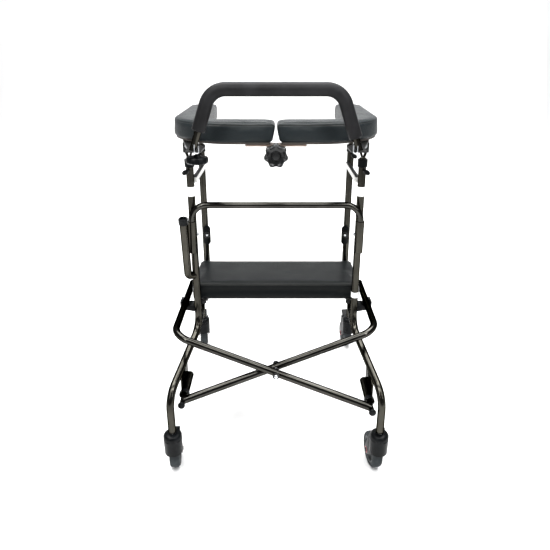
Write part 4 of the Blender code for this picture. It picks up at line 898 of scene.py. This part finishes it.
for side, sign in SIDES:
    for end, foot in FEET:
        place = caster_place(sign, foot)
        swivel, wheel = f"{side}_{end}_caster", f"{side}_{end}_wheel"
        hood = turned([(0.084, 0), (0.080, 0.024), (0.0815, 0.0258), (0.1285, 0.0265),
                       (0.1295, 0.0252), (0.1310, 0.0252), (0.1320, 0.0263), (0.1385, 0.0262),
                       (0.1435, 0.0235), (HOOD_TOP, 0.0205), (HOOD_TOP, 0.0065), (0.1300, 0.0065),
                       (0.1300, 0)], (0, 0, 0), UP, 48)
        room = turned([(-ROOM_HALF, 0), (-ROOM_HALF, WHEEL_R + 0.0024),
                       (ROOM_HALF, WHEEL_R + 0.0024), (ROOM_HALF, 0)], AXLE, RIGHT, 72)
        hood = carved(hood, room)
        cheeks = []
        for low, high in ((-0.0218, -0.0176), (0.0176, 0.0218)):
            shape = [(-0.016, 0.084), *arc((TRAIL, WHEEL_R), 0.014, -115, 45, 10)]
            if end == "rear":
                shape += [(BRAKE_Y + 0.008, BRAKE_Z - 0.006),
                          *arc((BRAKE_Y, BRAKE_Z), 0.0075, 0, 180, 8)]
            else:
                shape.append((0.022, CHEEK_TOP))
            shape.append((-0.008, CHEEK_TOP))
            cheeks.append(plate(shape, "X", low, high, 0.0012))
        piece(f"{swivel}_hood", moved(together(hood, *cheeks), place), black_plastic, swivel,
              f"{side}_{end}_caster_fork")
        if end == "front":
            clip = block((-0.003, 0.013, 0.1390), (0.021, 0.0245, 0.1478), 0.0012)
            piece(f"{swivel}_hood_clip", moved(clip, place), black_plastic, swivel)
        for out in (-1, 1):
            end_nut = turned([(0.0218, 0), (0.0218, 0.0072), (0.0232, 0.0072), (0.0232, 0.0056),
                              (0.0246, 0.0050), (0.0248, 0)], AXLE, (out, 0, 0), 24)
            where = "inner" if out < 0 else "outer"
            piece(f"{swivel}_axle_end_{where}", moved(end_nut, place), black_steel, swivel)
            mark = turned([(0.0217, 0), (0.0217, 0.0094), (0.0221, 0.0094), (0.0221, 0)],
                          AXLE, (out, 0, 0), 32)
            piece(f"{swivel}_axle_washer_{where}", moved(mark, place), red_pip, swivel)
        tread = [(-0.0150, 0.0388), (-0.0150, 0.0435), (-0.0140, 0.0470), (-0.0110, 0.0498),
                 (-0.0065, 0.0512), (0.0, WHEEL_R), (0.0065, 0.0512), (0.0110, 0.0498),
                 (0.0140, 0.0470), (0.0150, 0.0435), (0.0150, 0.0388), (-0.0150, 0.0388)]
        tyre = turned(tread, AXLE, RIGHT, 72)
        piece(f"{wheel}_tread", moved(tyre, place), tyre_rubber, wheel, f"{side}_{end}_tyre")
        rim = [(-0.0130, 0.0325), (-0.0140, 0.0345), (-0.0140, 0.0382), (0.0140, 0.0382),
               (0.0140, 0.0345), (0.0130, 0.0325), (0.0070, 0.0305), (0.0060, 0.0180),
               (0.0080, 0.0140), (0.0148, 0.0125), (0.0148, 0.0054), (-0.0148, 0.0054),
               (-0.0148, 0.0125), (-0.0080, 0.0140), (-0.0060, 0.0180), (-0.0070, 0.0305),
               (-0.0130, 0.0325)]
        centre = turned(rim, AXLE, RIGHT, 72)
        piece(f"{wheel}_centre", moved(centre, place), hub_plastic, wheel,
              f"{side}_{end}_wheel_hub")
    rear = caster_place(sign, REAR_FOOT)
    pedal = arc((BRAKE_Y, BRAKE_Z), 0.0063, 120, 250, 8)
    lever = ((0.0070, -0.0213), (0.0140, -0.0223), (0.0168, -0.0180), (0.0100, -0.0010),
             (0.0278, 0.0160), (0.0240, 0.0218))
    pedal += [(BRAKE_Y + a, BRAKE_Z + b) for a, b in lever]
    piece(f"{side}_brake_pedal", moved(plate(pedal, "X", -0.0163, 0.0163, 0.0012), rear),
          black_plastic, f"{side}_brake", f"{side}_brake_lever")
print("casters made")

# %% [markdown]
# The seat is hinged on a rod along the left frame and rests on one along the right. The oval
# plates on the rear posts carry one bolt each.

# %% Seat rods and oval plates
for side, sign in SIDES:
    body = f"{side}_frame"
    front, back = FRONT_POST_Y + TUBE_R + GAP, REAR_POST_Y - TUBE_R - GAP
    rod = turned([(0, 0), (0, 0.004), (back - front - 0.004, 0.004), (back - front - 0.004, 0)],
                 (sign * 0.227, front + 0.002, 0.423), BACK, 24)
    parts = [rod]
    for low in (front, back - 0.004):
        lug = [(0.2535, 0.4294), (0.2535, 0.4166), *arc((0.227, 0.423), 0.0064, -90, -270, 10)]
        parts.append(plate([(sign * a, b) for a, b in lug], "Y", low, low + 0.004, 0.0006))
    piece(f"{side}_seat_rod", together(*parts), black_steel, body, f"{side}_seat_bracket")
    x, z = sign * (POST_X - 0.007), 0.572
    oval = [*arc((x, z + 0.0225), 0.0125, 0, 180, 14), *arc((x, z - 0.0225), 0.0125, 180, 360, 14)]
    piece(f"{side}_oval_plate", plate(oval, "Y", back - 0.003, back, 0.0008), black_plastic, body,
          f"{side}_clip_plate")
    knob = turned([(0, 0), (0, 0.0110), (-0.0012, 0.0110), (-0.0016, 0.0104), (-0.0016, 0)],
                  (x, back - 0.003, z), BACK, 32)
    piece(f"{side}_oval_plate_knob", knob, black_steel, body)
    centre_pin = turned([(0, 0), (0, 0.0034), (-0.0004, 0.0031), (-0.0004, 0)],
                        (x, back - 0.0046, z), BACK, 24)
    piece(f"{side}_oval_plate_bolt", centre_pin, zinc, body)
print("seat rods made")

# %% [markdown]
# A cushion starts as a flat outline with rounded corners, is pushed up to its height and gets a
# soft rim. The cloth simulation then blows it up from inside, with its underside held, as foam
# fills a vinyl cover. It would go too far, so no point is let further than a swell of about two
# millimetres from its start. The board's pocket is cut out at the end.

# %% Cushions


def rounded_slab(corners, low, high, rim):
    bm = bmesh.new()
    face = bm.faces.new([bm.verts.new((x, y, low)) for x, y, _ in corners])
    spots = [(vert, radius) for vert, (_, _, radius) in zip(face.verts[:], corners)]
    for vert, radius in spots:
        to_a, to_b = [(edge.other_vert(vert).co - vert.co).normalized() for edge in vert.link_edges]
        reach = radius * math.tan((math.pi - to_a.angle(to_b)) / 2)
        bmesh.ops.bevel(bm, geom=[vert], offset=reach, segments=max(8, int(radius * 150)),
                        profile=0.5, affect="VERTICES", material=-1)
    grown = bmesh.ops.extrude_face_region(bm, geom=list(bm.faces))["geom"]
    bmesh.ops.translate(bm, verts=verts_of(grown), vec=(0, 0, high - low))
    bmesh.ops.recalc_face_normals(bm, faces=bm.faces)
    top_edges = [e for e in bm.edges if all(v.co.z > high - 1e-6 for v in e.verts)]
    bmesh.ops.bevel(bm, geom=top_edges, offset=rim, segments=4, profile=0.5, affect="EDGES",
                    material=-1)
    return bm


SWELL = 0.0022
CLOTH_FRAMES = 16


def puffed(bm, name, hold_below):
    """Blow a closed form up with cloth, held to the swell, with its underside pinned."""
    slab = object_from(bm, name + "_slab")
    remesh = slab.modifiers.new("even quads", "REMESH")
    remesh.mode = "VOXEL"
    remesh.voxel_size = 0.0055
    body = linked(name + "_cloth", applied(slab))
    start = [v.co.copy() for v in body.data.vertices]
    held = body.vertex_groups.new(name="held")
    held.add([v.index for v in body.data.vertices if v.co.z < hold_below], 1.0, "REPLACE")
    cloth = body.modifiers.new("cover", "CLOTH")
    cloth.settings.quality = 5
    cloth.settings.mass = 0.2
    cloth.settings.tension_stiffness = 20
    cloth.settings.compression_stiffness = 20
    cloth.settings.bending_stiffness = 0.6
    cloth.settings.use_pressure = True
    cloth.settings.uniform_pressure_force = 3.0
    cloth.settings.vertex_group_mass = "held"
    cloth.settings.effector_weights.gravity = 0.0
    for number in range(1, CLOTH_FRAMES + 1):
        bpy.context.scene.frame_set(number)
    mesh = applied(body)
    farthest = 0.0
    for vert, rest in zip(mesh.vertices, start):
        move = vert.co - rest
        if move.length > SWELL:
            vert.co = rest + move.normalized() * SWELL
        farthest = max(farthest, move.length)
    print(name, "blown up by", round(farthest * 1000, 1), "mm at most, held to", SWELL * 1000, "mm")
    return mesh


def upholster(mesh, name, finish, body, node, pocket):
    """Round the surface once more, cut the board's pocket and hand the cushion over."""
    cushion = linked(name + "_raw", mesh)
    smooth = cushion.modifiers.new("rounding", "SUBSURF")
    smooth.levels = smooth.render_levels = 1
    cutter = object_from(pocket, name + "_pocket")
    cut = cushion.modifiers.new("pocket", "BOOLEAN")
    cut.operation = "DIFFERENCE"
    cut.object = cutter
    final = applied(cushion)
    bpy.data.objects.remove(cutter)
    bm = bmesh.new()
    bm.from_mesh(final)
    made = piece(name, bm, finish, body, node, sharp=50)


PAD_LOW, PAD_TOP = 0.9472, 0.9995
SEAT_LOW, SEAT_TOP = 0.4288, 0.4805
PINNED = 0.004
POCKET_INSET = 0.0060


def pad_corners(inset, split):
    radii = (0.012, 0.190, 0.034, 0.020, 0.024, 0.020)
    spots = ((0.0015, -0.205), (0.291, -0.205), (0.298, 0.3165), (0.204, 0.3165), (0.187, -0.108),
             (0.0015, -0.108))
    moves = ((split, inset), (-inset, inset), (-inset, -inset), (inset, -inset), (inset, -inset),
             (split, -inset))
    return [(x + dx, y + dy, max(r - inset, 0.003) if k != 4 else r + inset)
            for k, ((x, y), (dx, dy), r) in enumerate(zip(spots, moves, radii))]


def narrowed(bm, amount):
    """Draw the end at the middle gap in towards the bottom, and let its top edge droop."""
    for vert in bm.verts:
        near = max(0.0, 1 - vert.co.x / 0.030)
        depth = min(1.0, max(0.0, (PAD_TOP - 0.004 - vert.co.z) / 0.047))
        vert.co.x += amount * near * depth ** 2
        if depth < 0.2:
            vert.co.z -= 0.003 * max(0.0, 1 - vert.co.x / 0.016) ** 2
    return bm


pad_form = rounded_slab(pad_corners(SWELL * 0.7, 0.0), PAD_LOW, PAD_TOP - 0.0025, 0.006)
pad_mesh = puffed(narrowed(pad_form, 0.0085), "pad", PAD_LOW + PINNED)
for side, sign in SIDES:
    half = pad_mesh.copy()
    pocket = rounded_slab(pad_corners(POCKET_INSET, POCKET_INSET), 0.9385, 0.9528, 0.0002)
    if sign < 0:
        mirrored = bmesh.new()
        mirrored.from_mesh(half)
        bmesh.ops.scale(mirrored, vec=(-1, 1, 1), verts=mirrored.verts)
        bmesh.ops.reverse_faces(mirrored, faces=mirrored.faces)
        mirrored.to_mesh(half)
        mirrored.free()
        bmesh.ops.scale(pocket, vec=(-1, 1, 1), verts=pocket.verts)
        bmesh.ops.reverse_faces(pocket, faces=pocket.faces)
    upholster(half, f"{side}_pad_upholstery", pad_vinyl, f"{side}_pad", f"{side}_pad_cushion",
              pocket)


def seat_corners(inset):
    half, front, back = 0.267 - inset, -0.065 + inset, 0.137 - inset
    return [(x, y, 0.013) for x, y in ((-half, front), (half, front), (half, back), (-half, back))]


seat_form = rounded_slab(seat_corners(SWELL * 0.7), SEAT_LOW, SEAT_TOP, 0.005)
seat_mesh = puffed(seat_form, "seat", SEAT_LOW + PINNED)
seat_pocket = rounded_slab(seat_corners(POCKET_INSET), 0.423, 0.4378, 0.0002)
upholster(seat_mesh, "seat_upholstery", seat_vinyl_shaded, "seat", "seat_cushion", seat_pocket)
print("cushions made")

# %% [markdown]
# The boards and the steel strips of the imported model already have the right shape, so they only
# take their finish. The paper on the floor gets its own.

# %% Finishes of the kept parts and the floor
kept = {"board": board_stain, "strip": strip_steel}
for name, node in nodes.items():
    for key, finish in kept.items():
        if key in name:
            node.data.materials.clear()
            node.data.materials.append(finish.material)

floor_finish = Finish("pale floor", (0.93, 0.93, 0.93), 0.6)
floor_finish.feed("Roughness", floor_finish.noise(3.0) * 0.1 + 0.55)
floor.data.materials.append(floor_finish.material)
